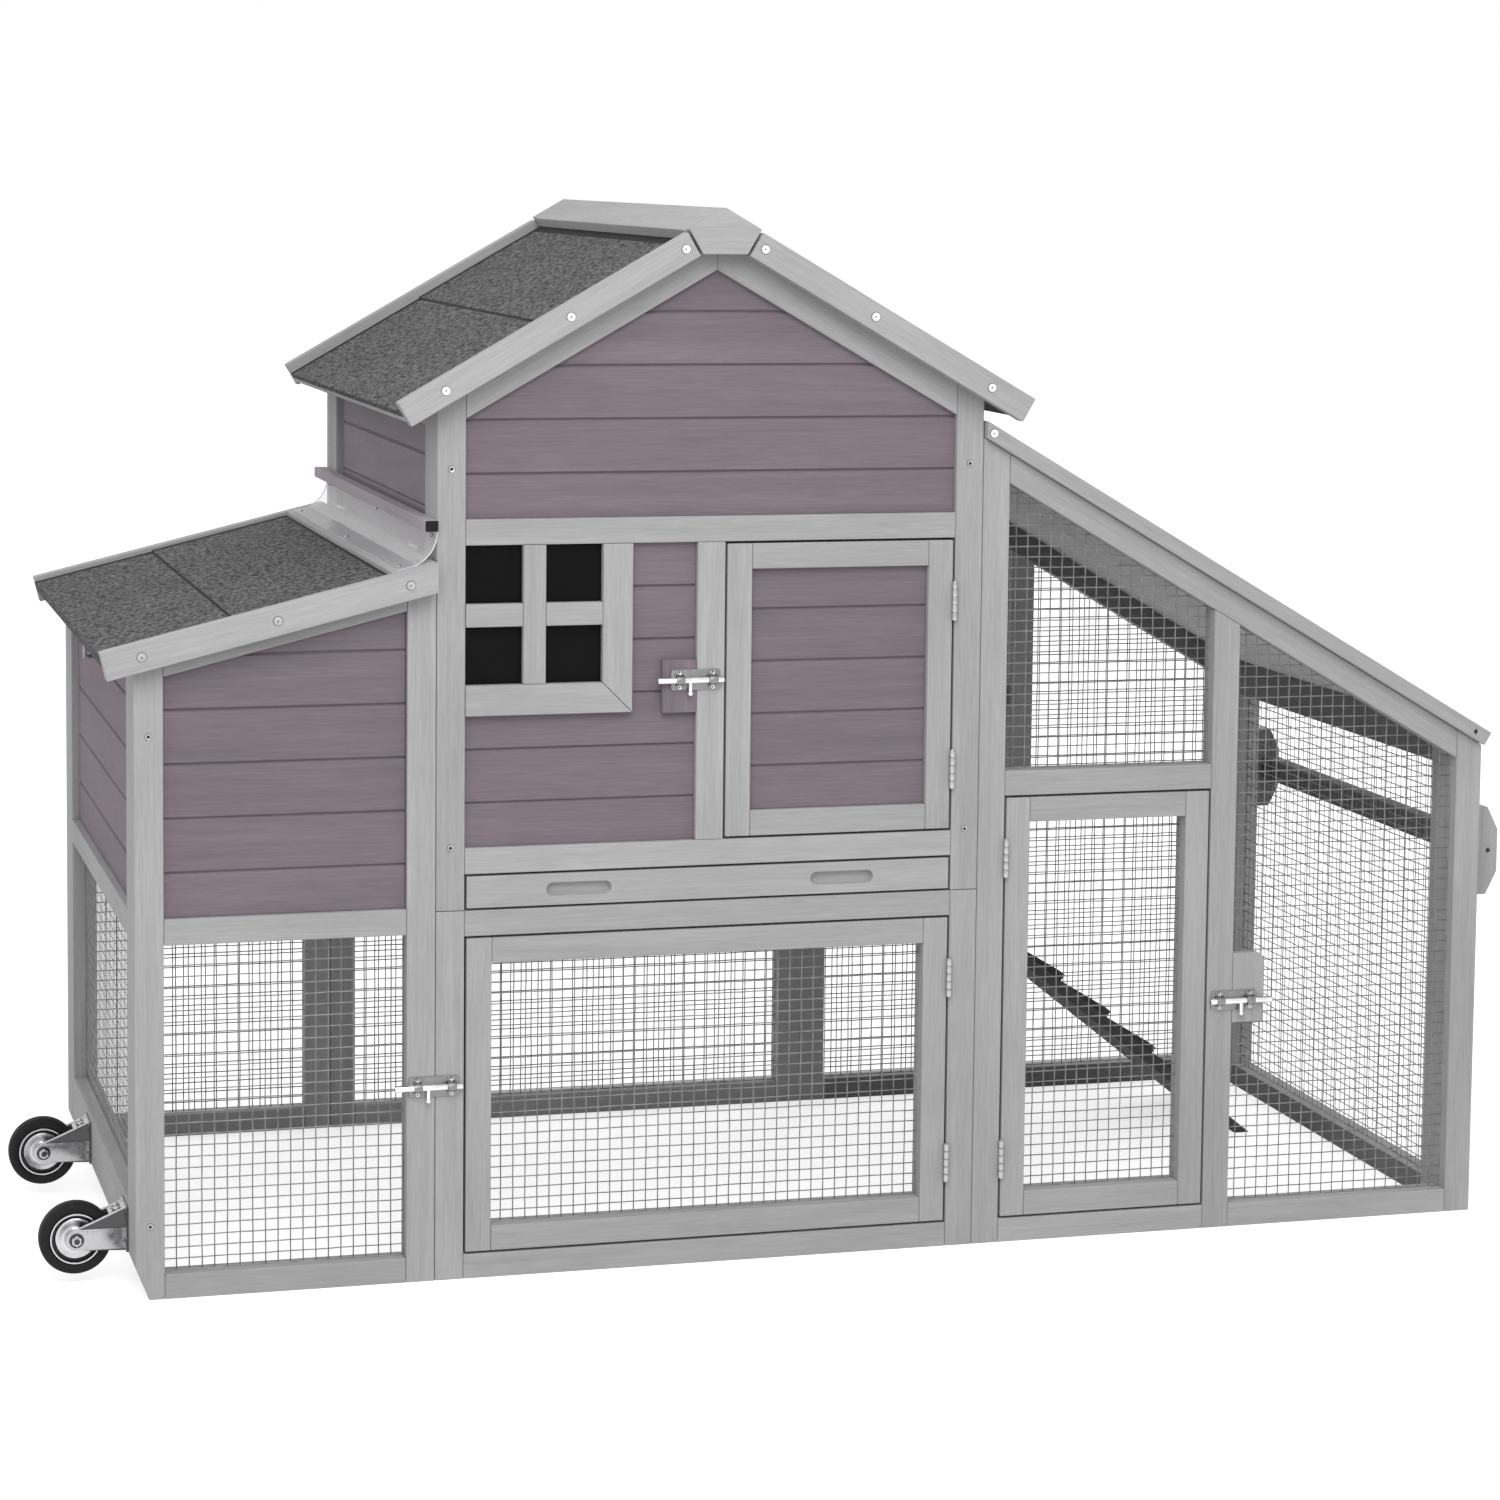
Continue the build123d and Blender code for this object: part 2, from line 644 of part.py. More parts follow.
def perch():
    """Roosting bar from the front boards to the back boards, with rounded upper edges."""
    x = left_wall[1] + PERCH_FROM_WALL
    y = BOARD_RECESS + BOARD_T + JOINT_GAP
    bar = block((x, x + PERCH_WIDTH), (y, DEPTH - y), (PERCH_Z, PERCH_Z + PERCH_HEIGHT))
    top_edges = bar.edges().filter_by(Axis.Y).group_by(Axis.Z)[-1]
    return [fillet(top_edges, PERCH_ROUND)]


# Tray
tray_x = inner(house_bay, DOOR_GAP)


def tray_front():
    """Front board with two routed finger recesses."""
    z = (tray_bottom, tray_bottom + TRAY_FRONT)
    front_board = block(tray_x, (0.0, TRAY_FRONT_T), z)
    for x in (tray_x[0] + FINGER_FROM_END, tray_x[1] - FINGER_FROM_END):
        plane = Plane((x, 0.0, (z[0] + z[1]) / 2), x_dir=(1, 0, 0), z_dir=(0, -1, 0))
        front_board -= extrude(plane * SlotOverall(FINGER_LENGTH, FINGER_HEIGHT), amount=-FINGER_DEPTH)
    return [front_board]


def tray_pan():
    """Folded sheet pan behind the front board."""
    x = inner(tray_x, DOOR_GAP)
    y = (TRAY_FRONT_T, DEPTH - FRAME_T - TRAY_BACK_GAP)
    z = (HOUSE_FLOOR + REST_GAP, HOUSE_FLOOR + REST_GAP + TRAY_DEPTH)
    hollow = block(inner(x, TRAY_SHEET), inner(y, TRAY_SHEET), (z[0] + TRAY_SHEET, z[1] + TRAY_SHEET))
    return [block(x, y, z) - hollow]


# Doors
def door_frame(x, z):
    """Two full-height stiles and two rails, flush with the frame round them."""
    across = inner((x[0] + DOOR_STILE, x[1] - DOOR_STILE))
    return [
        block((x[0], x[0] + DOOR_STILE), front, z),
        block((x[1] - DOOR_STILE, x[1]), front, z),
        block(across, front, (z[0], z[0] + DOOR_STILE)),
        block(across, front, (z[1] - DOOR_STILE, z[1])),
    ]


def door_mesh(x, z):
    bay = inner(x, DOOR_STILE)
    return mesh("x", MESH_INSET, 1, bay, z[0] + DOOR_STILE, (z[1] - DOOR_STILE, z[1] - DOOR_STILE))


def upper_door_boards():
    return [boards("x", BOARD_RECESS, 1, inner(upper_door_x, DOOR_STILE + JOINT_GAP),
                   inner(upper_door_z, DOOR_STILE + JOINT_GAP))]


# Main roof
roof_y = (-GABLE_OVERHANG + BARGE_T, DEPTH + GABLE_OVERHANG - BARGE_T)


def at_ridge(slope, gap=JOINT_GAP):
    """Where a slope's boards stop short of the ridge line."""
    return ridge_x + slope.side * gap / 2


def roof_boards():
    return [prism(slope.band(at_ridge(slope), roof_run, -roof_t, -FELT_T), "y", inner(roof_y))
            for slope in roofs]


def roof_felts():
    return [prism(slope.band(at_ridge(slope), roof_run, -FELT_T, 0.0), "y", inner(roof_y))
            for slope in roofs]


barge_low = BARGE_UPSTAND - BARGE_WIDTH
barge_y = (-GABLE_OVERHANG, roof_y[0])


def barge_boards():
    """A pair with square ends at the front and another at the back."""
    pair = [prism(slope.plank((BARGE_START, roof_run), barge_low, BARGE_UPSTAND), "y", barge_y)
            for slope in roofs]
    return pair + [mirrored(board) for board in pair]


def ridge_cap():
    return [prism(slope.band(at_ridge(slope), RIDGE_BOARD, 0.0, RIDGE_BOARD_T), "y", inner(roof_y))
            for slope in roofs]


def ridge_end_plates():
    """Five-sided plates that close the ridge cap's ends, between the ends of the barge boards."""
    edge = BARGE_START - PLATE_GAP
    outline = [(ridge_x, roof_left.at(ridge_x, RIDGE_BOARD_T)),
               roof_right.along(edge, RIDGE_BOARD_T), roof_right.along(edge, barge_low),
               roof_left.along(edge, barge_low), roof_left.along(edge, RIDGE_BOARD_T)]
    plate = prism(outline, "y", barge_y)
    return [plate, mirrored(plate)]


# Run
run_span = inner((run_left + POST, run_right - POST))


def run_frame(y):
    """Front or back frame of the run, under the lean-to roof."""
    mid_top = [(run_mid[1], run_roof.at(run_mid[1], run_top_low) - JOINT_GAP),
               (run_mid[0], run_roof.at(run_mid[0], run_top_low) - JOINT_GAP)]
    door_bay = inner((run_left + POST, run_mid[0]))
    far_bay = inner((run_mid[1], run_right - POST))
    return [
        prism(run_roof.under((run_left, run_left + POST), 0.0, run_rest), "y", y),
        prism(run_roof.under((run_right - POST, run_right), 0.0, run_rest), "y", y),
        prism([(run_mid[0], 0.0), (run_mid[1], 0.0)] + mid_top, "y", y),
        prism(run_roof.bar(run_span, run_top_low, run_rest), "y", y),
        block(door_bay, y, run_mid_rail),
        block(door_bay, y, (0.0, BOTTOM_RAIL)),
        block(far_bay, y, (0.0, BOTTOM_RAIL)),
    ]


run_end = (run_right - FRAME_T, run_right)
run_end_top = run_roof.at(run_right, run_rest) - RAIL


def run_end_frame():
    """Right end between the front and back frames."""
    stile = run_roof.under(run_end, 0.0, run_rest)
    return [
        prism(stile, "y", front_stile),
        prism(stile, "y", back_stile),
        prism(run_roof.under(run_end, run_end_top, run_rest), "y", wall_bay),
        block(run_end, wall_bay, (0.0, BOTTOM_RAIL)),
    ]


def run_mesh():
    """Mesh in every bay that is not a door."""
    door_bay = (run_left + POST, run_mid[0])
    far_bay = (run_mid[1], run_right - POST)

    def slope_top(bay):
        return (run_roof.at(bay[0], run_top_low), run_roof.at(bay[1], run_top_low))

    upper = mesh("x", MESH_INSET, 1, door_bay, run_mid_rail[1], slope_top(door_bay))
    far = mesh("x", MESH_INSET, 1, far_bay, BOTTOM_RAIL, slope_top(far_bay))
    lower = mesh("x", MESH_INSET, 1, door_bay, BOTTOM_RAIL, (run_mid_rail[0], run_mid_rail[0]))
    end = mesh("y", run_right - MESH_INSET, -1, wall_bay, BOTTOM_RAIL, (run_end_top, run_end_top))
    return upper + far + end + [mirrored(layer) for layer in upper + far + lower]


run_roof_y = (-RUN_OVERHANG + BARGE_T, DEPTH + RUN_OVERHANG - BARGE_T)
run_roof_top = run_left + SEAM


def run_roof_boards():
    return [prism(run_roof.band(run_roof_top, run_run, -roof_t, -FELT_T), "y", inner(run_roof_y))]


def run_roof_felt():
    return [prism(run_roof.band(run_roof_top, run_run, -FELT_T, 0.0), "y", inner(run_roof_y))]


def run_roof_trim():
    """Edge boards along the front and back of the lean-to roof."""
    edge = prism(run_roof.band(run_roof_top, run_run, -roof_t, RUN_EDGE_UP), "y",
                 (-RUN_OVERHANG, run_roof_y[0]))
    return [edge, mirrored(edge)]


def ramp():
    """Plank from the pop hole to the ground, its foot cut level, with cleats across it."""
    pitch = math.degrees(math.atan2(HOUSE_FLOOR, RAMP_RUN))
    slope = Slope(run_left, HOUSE_FLOOR, pitch, 1)
    y = (pop_hole_y - RAMP_WIDTH / 2, pop_hole_y + RAMP_WIDTH / 2)
    foot = run_left + RAMP_RUN
    outline = [(run_left, HOUSE_FLOOR), (foot, 0.0), (foot - RAMP_T / slope.sin, 0.0),
               (run_left, slope.at(run_left, -RAMP_T))]
    pieces = [prism(outline, "y", y)]
    run = CLEAT_PITCH
    while run < RAMP_RUN / slope.cos - CLEAT_PITCH / 2:
        cleat = [slope.along(run), slope.along(run + CLEAT), slope.along(run + CLEAT, CLEAT),
                 slope.along(run, CLEAT)]
        pieces.append(prism(cleat, "y", inner(y, CLEAT)))
        run += CLEAT_PITCH
    return pieces


# Lifting handle
handle_front = (FRAME_T, FRAME_T + HANDLE_PLATE_T)


def handle_plates():
    """Side plates with cut corners on the right end."""
    low, high = HANDLE_Z - HANDLE_HEIGHT / 2, HANDLE_Z + HANDLE_HEIGHT / 2
    tip = run_right + HANDLE_REACH
    outline = [(run_right, low), (tip - HANDLE_CUT_X, low), (tip, low + HANDLE_CUT_Z),
               (tip, high - HANDLE_CUT_Z), (tip - HANDLE_CUT_X, high), (run_right, high)]
    plate = prism(outline, "y", handle_front)
    return [plate, mirrored(plate)]


def handle_bar():
    x = run_right + HANDLE_REACH - HANDLE_BAR_T - JOINT_GAP
    y = (handle_front[1], DEPTH - handle_front[1])
    z = (HANDLE_Z - HANDLE_BAR / 2, HANDLE_Z + HANDLE_BAR / 2)
    bar = block((x, x + HANDLE_BAR_T), inner(y), z)
    return [fillet(bar.edges().filter_by(Axis.Y), HANDLE_ROUND)]


# Hinges
def hinge(plane, side):
    """Fixed half with the whole barrel, and moving leaf, of a butt hinge on the given plane.

    The barrel lies on the plane's z axis. The leaves stand in the gap behind it, the fixed one on the
    side given (-1 or 1) along the plane's x axis.
    """
    z = (-HINGE_LENGTH / 2, HINGE_LENGTH / 2)
    leaf_x = sorted((side * (DOOR_GAP / 2 - LEAF_T), side * DOOR_GAP / 2))
    moving_x = [-leaf_x[1], -leaf_x[0]]
    back_edge = hinge_proud + HINGE_LEAF
    fixed = block(leaf_x, (0.0, back_edge), z) + rod("z", (0, 0), KNUCKLE_R, z)
    moving = block(moving_x, (hinge_proud, back_edge), z)
    return plane.location * fixed, plane.location * moving


def door_hinges(x, side, door_z):
    """A pair of hinges in the gap beside a door; side is where the fixed leaf lies."""
    pairs = []
    for z in (door_z[0] + HINGE_INSET, door_z[1] - HINGE_INSET):
        pairs.append(hinge(Plane((x, -hinge_proud, z), x_dir=(1, 0, 0), z_dir=(0, 0, 1)), side))
    return pairs


upper_axis_x = upper_door_x[1] + DOOR_GAP / 2
lower_axis_x = lower_door_x[1] + DOOR_GAP / 2
run_axis_x = run_door_x[0] - DOOR_GAP / 2
lid_axis = (NEST_WIDTH - DOOR_GAP / 2, lid_rail_top + hinge_proud)

upper_hinges = door_hinges(upper_axis_x, 1, upper_door_z)
lower_hinges = door_hinges(lower_axis_x, 1, lower_door_z)
run_hinges = door_hinges(run_axis_x, -1, run_door_z)
lid_hinges = [hinge(Plane((lid_axis[0], y, lid_axis[1]), x_dir=(1, 0, 0), z_dir=(0, 1, 0)), 1)
              for y in (LID_HINGE_INSET, DEPTH - LID_HINGE_INSET)]


def hinge_leaves():
    return [fixed for fixed, moving in upper_hinges + lower_hinges + run_hinges + lid_hinges]


def moving_leaves(pairs):
    return [moving for fixed, moving in pairs]


# Lid hook
hook_x = -LID_EAVE + HOOK_FROM_EAVE
hook_z = lid.at(hook_x, lid_under) - LUG_DROP
hook_eye = HOOK_T + SLIDE_GAP


def hook_staple():
    """Two lugs under the lid's low edge with a pin between them."""
    pieces = rod("y", (hook_x, hook_z), PIN_R, (middle_y - HOOK_WIDTH, middle_y + HOOK_WIDTH))
    lug = lid.under((hook_x - hook_eye, hook_x + hook_eye), hook_z - hook_eye, lid_under)
    for y in (middle_y - HOOK_WIDTH, middle_y + HOOK_WIDTH - LUG_T):
        pieces += prism(lug, "y", (y, y + LUG_T))
    return pieces


def lid_hook():
    """Flat hook that hangs from the staple's pin, with its lip towards the wall."""
    y = (middle_y - HOOK_WIDTH / 2, middle_y + HOOK_WIDTH / 2)
    inside, outside = hook_x + HOOK_T / 2, hook_x - HOOK_T / 2
    low, lip_top, neck = hook_z - HOOK_LENGTH, hook_z - HOOK_LENGTH + HOOK_T, hook_z - hook_eye
    outline = [(outside, low), (inside + HOOK_LIP, low), (inside + HOOK_LIP, lip_top), (inside, lip_top),
               (inside, neck), (hook_x + hook_eye, neck), (hook_x + hook_eye, hook_z + hook_eye),
               (hook_x - hook_eye, hook_z + hook_eye), (hook_x - hook_eye, neck), (outside, neck)]
    return [prism(outline, "y", y) - rod("y", (hook_x, hook_z), PIN_R + RUNNING, y)]


def lid_catch():
    """Stud on the end wall above the hook's lip."""
    low = hook_z - HOOK_LENGTH + HOOK_T + SLIDE_GAP * 3
    tip = hook_x + HOOK_T / 2 + HOOK_LIP / 2 + SLIDE_GAP
    return block((tip, BOARD_RECESS), (middle_y - CATCH / 2, middle_y + CATCH / 2), (low, low + CATCH))


# Flashing over the lid's hinge line
def flashing_batten():
    return [block((NEST_WIDTH - BATTEN_T, NEST_WIDTH), (-BATTEN_OVERHANG, DEPTH + BATTEN_OVERHANG),
                  (batten_z, batten_z + BATTEN_HEIGHT))]


def flashing():
    """Thin clear strip that curves from under the batten out onto the lid's bare strip."""
    wall = NEST_WIDTH - JOINT_GAP
    corner_z = lid.at(wall, LID_UPSTAND + REST_GAP)
    bend = 90.0 - LID_ANGLE
    radius = (batten_z - corner_z) / math.tan(math.radians(bend / 2))
    middle = (wall - radius, batten_z)
    outer = CenterArc(middle, radius, 0.0, -bend)
    inside = CenterArc(middle, radius - FLASHING_T, 0.0, -bend)
    profile = make_face([outer, inside, Line(outer @ 0, inside @ 0), Line(outer @ 1, inside @ 1)])
    return [extrude(Plane.XZ * profile, amount=DEPTH, dir=(0, 1, 0))]


# Bolts
def bolt_strap(z, limits):
    """A strap bent over the rod, open towards its plate, with bevelled shoulders."""
    inside = BOLT_R + SLIDE_GAP
    outside = inside + STRAP_T
    bevel = outside / 2
    outline = [(-BOLT_PLATE_T, z - outside), (bolt_y - outside + bevel, z - outside),
               (bolt_y - outside, z - outside + bevel), (bolt_y - outside, z + outside - bevel),
               (bolt_y - outside + bevel, z + outside), (-BOLT_PLATE_T, z + outside),
               (-BOLT_PLATE_T, z + inside), (bolt_y - inside, z + inside),
               (bolt_y - inside, z - inside), (-BOLT_PLATE_T, z - inside)]
    return prism(outline, "x", limits)


def bolt_parts(edge, z, side):
    """Plate with straps, and drawn rod, of a bolt that shoots past the edge towards the side given."""
    def reach(near, far):
        return sorted((edge - side * near, edge - side * far))

    plate = block(reach(STRAP / 2, STRAP / 2 + BOLT_PLATE), (-BOLT_PLATE_T, 0.0),
                  (z - BOLT_PLATE_HEIGHT / 2, z + BOLT_PLATE_HEIGHT / 2))
    for near in (STRAP, STRAP / 2 + BOLT_PLATE - STRAP * 1.5):
        plate += bolt_strap(z, reach(near, near + STRAP))
    shaft = rod("x", (bolt_y, z), BOLT_R, reach(BOLT_SHY, BOLT_SHY + BOLT_LENGTH))
    knob_x = STRAP / 2 + BOLT_PLATE / 2 + BOLT_THROW / 2
    knob = block(reach(knob_x - KNOB / 2, knob_x + KNOB / 2), (bolt_y - KNOB / 2, bolt_y + KNOB / 2),
                 (z - KNOB_LENGTH, z))
    return plate, shaft + knob


upper_edge = mullion[1]
lower_edge = house_bay[0]
run_edge = run_mid[0]
upper_plate, upper_rod = bolt_parts(upper_edge, UPPER_BOLT_Z, 1)
lower_plate, lower_rod = bolt_parts(lower_edge, LOWER_BOLT_Z, 1)
run_plate, run_rod = bolt_parts(run_edge, RUN_BOLT_Z, -1)


def bolt_pads():
    """Packing under the ends of the upper and run bolts, flush with the frames."""
    upper = block(upper_pad_x, (0.0, BOARD_RECESS),
                  (UPPER_BOLT_Z - UPPER_PAD_BELOW, UPPER_BOLT_Z - UPPER_PAD_BELOW + UPPER_PAD))
    run = block((run_mid[1] + JOINT_GAP, run_mid[1] + JOINT_GAP + PAD_WIDTH), (0.0, RUN_PAD_T),
                (RUN_BOLT_Z - RUN_PAD_BELOW, RUN_BOLT_Z - RUN_PAD_BELOW + RUN_PAD))
    corner = run.edges().filter_by(Axis.Y).group_by(Axis.X)[-1].sort_by(Axis.Z)[-1]
    return [upper, fillet(corner, RUN_PAD_CORNER)]


# Casters
def caster_fork(y):
    """Plate on the caster rails with two tapering cheeks round the wheel, and the axle bolt through them."""
    half = TYRE_WIDTH / 2 + FORK_SIDE_GAP
    centre = (-WHEEL_X, WHEEL_Z)
    z_low = NOSE_Z + REST_GAP
    z_high = z_low + FORK_PLATE_HEIGHT
    plate = block((-FORK_SHEET, 0.0), (y - FORK_PLATE_WIDTH / 2, y + FORK_PLATE_WIDTH / 2),
                  (z_low, z_high))
    cheek = [(-FORK_SHEET, z_low), (-FORK_SHEET, z_high - FORK_SHEET),
             (-WHEEL_X, WHEEL_Z + FORK_EYE_R), (-WHEEL_X, WHEEL_Z - FORK_EYE_R)]
    for limits in ((y - half - FORK_SHEET, y - half), (y + half, y + half + FORK_SHEET)):
        plate += prism(cheek, "y", limits) + rod("y", centre, FORK_EYE_R, limits)
    return plate + rod("y", centre, AXLE_R, (y - half, y + half))


def ring(y, bore, radius, width):
    """A turned ring on a caster's axle."""
    limits = (y - width / 2, y + width / 2)
    return rod("y", (-WHEEL_X, WHEEL_Z), radius, limits) - rod("y", (-WHEEL_X, WHEEL_Z), bore, limits)


def tyre(y):
    return [ring(y, RIM_R + RUNNING, WHEEL_R, TYRE_WIDTH)]


def rim(y):
    """Wheel centre that runs on the axle bolt."""
    return [ring(y, AXLE_R + RUNNING, RIM_R, RIM_WIDTH)]


parts = {
    "nest_front_frame": nest_frame(front),
    "nest_back_frame": nest_frame(back),
    "nest_end_frame": nest_end_frame(),
    "nest_boards": nest_boards(),
    "nest_mesh": nest_mesh(),
    "nest_floor": nest_floor(),
    "nest_partition": nest_partition(),
    "nest_lid_boards": nest_lid_boards(),
    "nest_lid_felt": nest_lid_felt(),
    "nest_lid_trim": nest_lid_trim(),
    "lid_hardware": moving_leaves(lid_hinges) + [hook_staple()],
    "lid_hook": lid_hook(),
    "flashing_batten": flashing_batten(),
    "flashing": flashing(),
    "house_front_frame": house_front_frame(),
    "house_front_boards": house_front_boards(),
    "window_frame": window_frame(),
    "window_pane": window_pane(),
    "house_lower_frame": house_lower_frame(),
    "house_back_frame": house_back_frame(),
    "house_back_boards": house_back_boards(),
    "house_back_mesh": house_back_mesh(),
    "house_side_frames": house_side_frames(),
    "house_side_boards": house_side_boards(),
    "tray_runners": tray_runners(),
    "perch": perch(),
    "tray_front": tray_front(),
    "tray_pan": tray_pan(),
    "upper_door_frame": door_frame(upper_door_x, upper_door_z),
    "upper_door_boards": upper_door_boards(),
    "upper_door_leaves": moving_leaves(upper_hinges),
    "lower_door_frame": door_frame(lower_door_x, lower_door_z),
    "lower_door_mesh": door_mesh(lower_door_x, lower_door_z),
    "lower_door_leaves": moving_leaves(lower_hinges),
    "run_door_frame": door_frame(run_door_x, run_door_z),
    "run_door_mesh": door_mesh(run_door_x, run_door_z),
    "run_door_leaves": moving_leaves(run_hinges),
    "roof_boards": roof_boards() + run_roof_boards(),
    "roof_felts": roof_felts() + run_roof_felt(),
    "roof_edge_boards": barge_boards() + run_roof_trim(),
    "ridge_cap": ridge_cap(),
    "ridge_end_plates": ridge_end_plates(),
    "run_front_frame": run_frame(front),
    "run_back_frame": run_frame(back),
    "run_end_frame": run_end_frame(),
    "run_mesh": run_mesh(),
    "ramp": ramp(),
    "handle_plates": handle_plates(),
    "handle_bar": handle_bar(),
    "hinge_leaves": hinge_leaves(),
    "latch_plates": [upper_plate, lower_plate, run_plate, lid_catch()],
    "bolt_pads": bolt_pads(),
    "upper_bolt": [upper_rod],
    "lower_bolt": [lower_rod],
    "run_bolt": [run_rod],
    "caster_forks": [caster_fork(FRONT_CASTER_Y), caster_fork(BACK_CASTER_Y)],
    "front_tyre": tyre(FRONT_CASTER_Y),
    "front_rim": rim(FRONT_CASTER_Y),
    "back_tyre": tyre(BACK_CASTER_Y),
    "back_rim": rim(BACK_CASTER_Y),
}

# The origin goes to the ground under the middle of everything
pieces = {name: [solid for shape in shapes for solid in shape.solids()] for name, shapes in parts.items()}
whole = Compound([solid for solids in pieces.values() for solid in solids]).bounding_box()
to_middle = Pos(-(whole.min.X + whole.max.X) / 2, -(whole.min.Y + whole.max.Y) / 2, -whole.min.Z)

os.makedirs("parts", exist_ok=True)
for name, solids in pieces.items():
    export_step(Compound([to_middle * solid for solid in solids]), "parts/" + name + ".step")
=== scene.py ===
"""Looks of a wooden chicken coop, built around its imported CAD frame."""
import json
import math
import random

import bmesh
import bpy
from bmesh.types import BMEdge, BMFace, BMVert
from bpy.props import FloatProperty, FloatVectorProperty, PointerProperty
from mathutils import Matrix, Vector, noise


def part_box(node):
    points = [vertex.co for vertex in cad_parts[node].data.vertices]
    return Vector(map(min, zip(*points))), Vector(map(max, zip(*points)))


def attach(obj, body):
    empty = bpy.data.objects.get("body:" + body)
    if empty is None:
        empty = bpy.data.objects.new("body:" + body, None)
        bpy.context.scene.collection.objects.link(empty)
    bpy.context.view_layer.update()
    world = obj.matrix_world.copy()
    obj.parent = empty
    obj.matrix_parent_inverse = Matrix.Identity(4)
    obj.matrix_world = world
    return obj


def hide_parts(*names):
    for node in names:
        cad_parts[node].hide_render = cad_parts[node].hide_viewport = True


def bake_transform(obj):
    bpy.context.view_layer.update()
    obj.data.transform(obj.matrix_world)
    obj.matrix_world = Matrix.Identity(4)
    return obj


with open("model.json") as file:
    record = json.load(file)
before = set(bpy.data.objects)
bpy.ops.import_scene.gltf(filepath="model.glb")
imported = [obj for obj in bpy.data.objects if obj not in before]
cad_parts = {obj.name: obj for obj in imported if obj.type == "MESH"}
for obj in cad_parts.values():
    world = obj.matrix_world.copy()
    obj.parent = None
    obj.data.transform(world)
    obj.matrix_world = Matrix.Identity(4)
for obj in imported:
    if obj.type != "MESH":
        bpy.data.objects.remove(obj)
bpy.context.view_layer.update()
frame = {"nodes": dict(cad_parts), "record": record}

bl_info = {
    "name": "Chicken Coop",
    "version": (1, 0, 0),
    "blender": (4, 5, 0),
    "location": "View3D > Sidebar > Coop",
    "description": "Dresses the coop's CAD frame with painted timber, wire mesh, felt and hardware",
    "category": "Object",
}

SEED = 7
WELD = 1e-6                      # vertices closer than this are one vertex
FACING = 0.9                     # a face looks along an axis if its normal has this share of it
SIDES = (-1.0, 1.0)
ALONG_X = Vector((1.0, 0.0, 0.0)).freeze()
ALONG_Y = Vector((0.0, 1.0, 0.0)).freeze()
ALONG_Z = Vector((0.0, 0.0, 1.0)).freeze()
SLOT_OF = {row["node"]: row["material_slot"] for row in frame["record"]["subparts"]}
BODY_OF = {node: body for body, nodes in frame["record"]["behaviour"]["bodies"].items() for node in nodes}


def length(name, default, description):
    """A length in metres that a user may change."""
    return FloatProperty(name=name, description=description, default=default, unit="LENGTH", precision=5)


def colour(name, default, description):
    """A linear colour that a user may change."""
    return FloatVectorProperty(name=name, description=description, default=default, subtype="COLOR",
                               min=0.0, max=1.0)


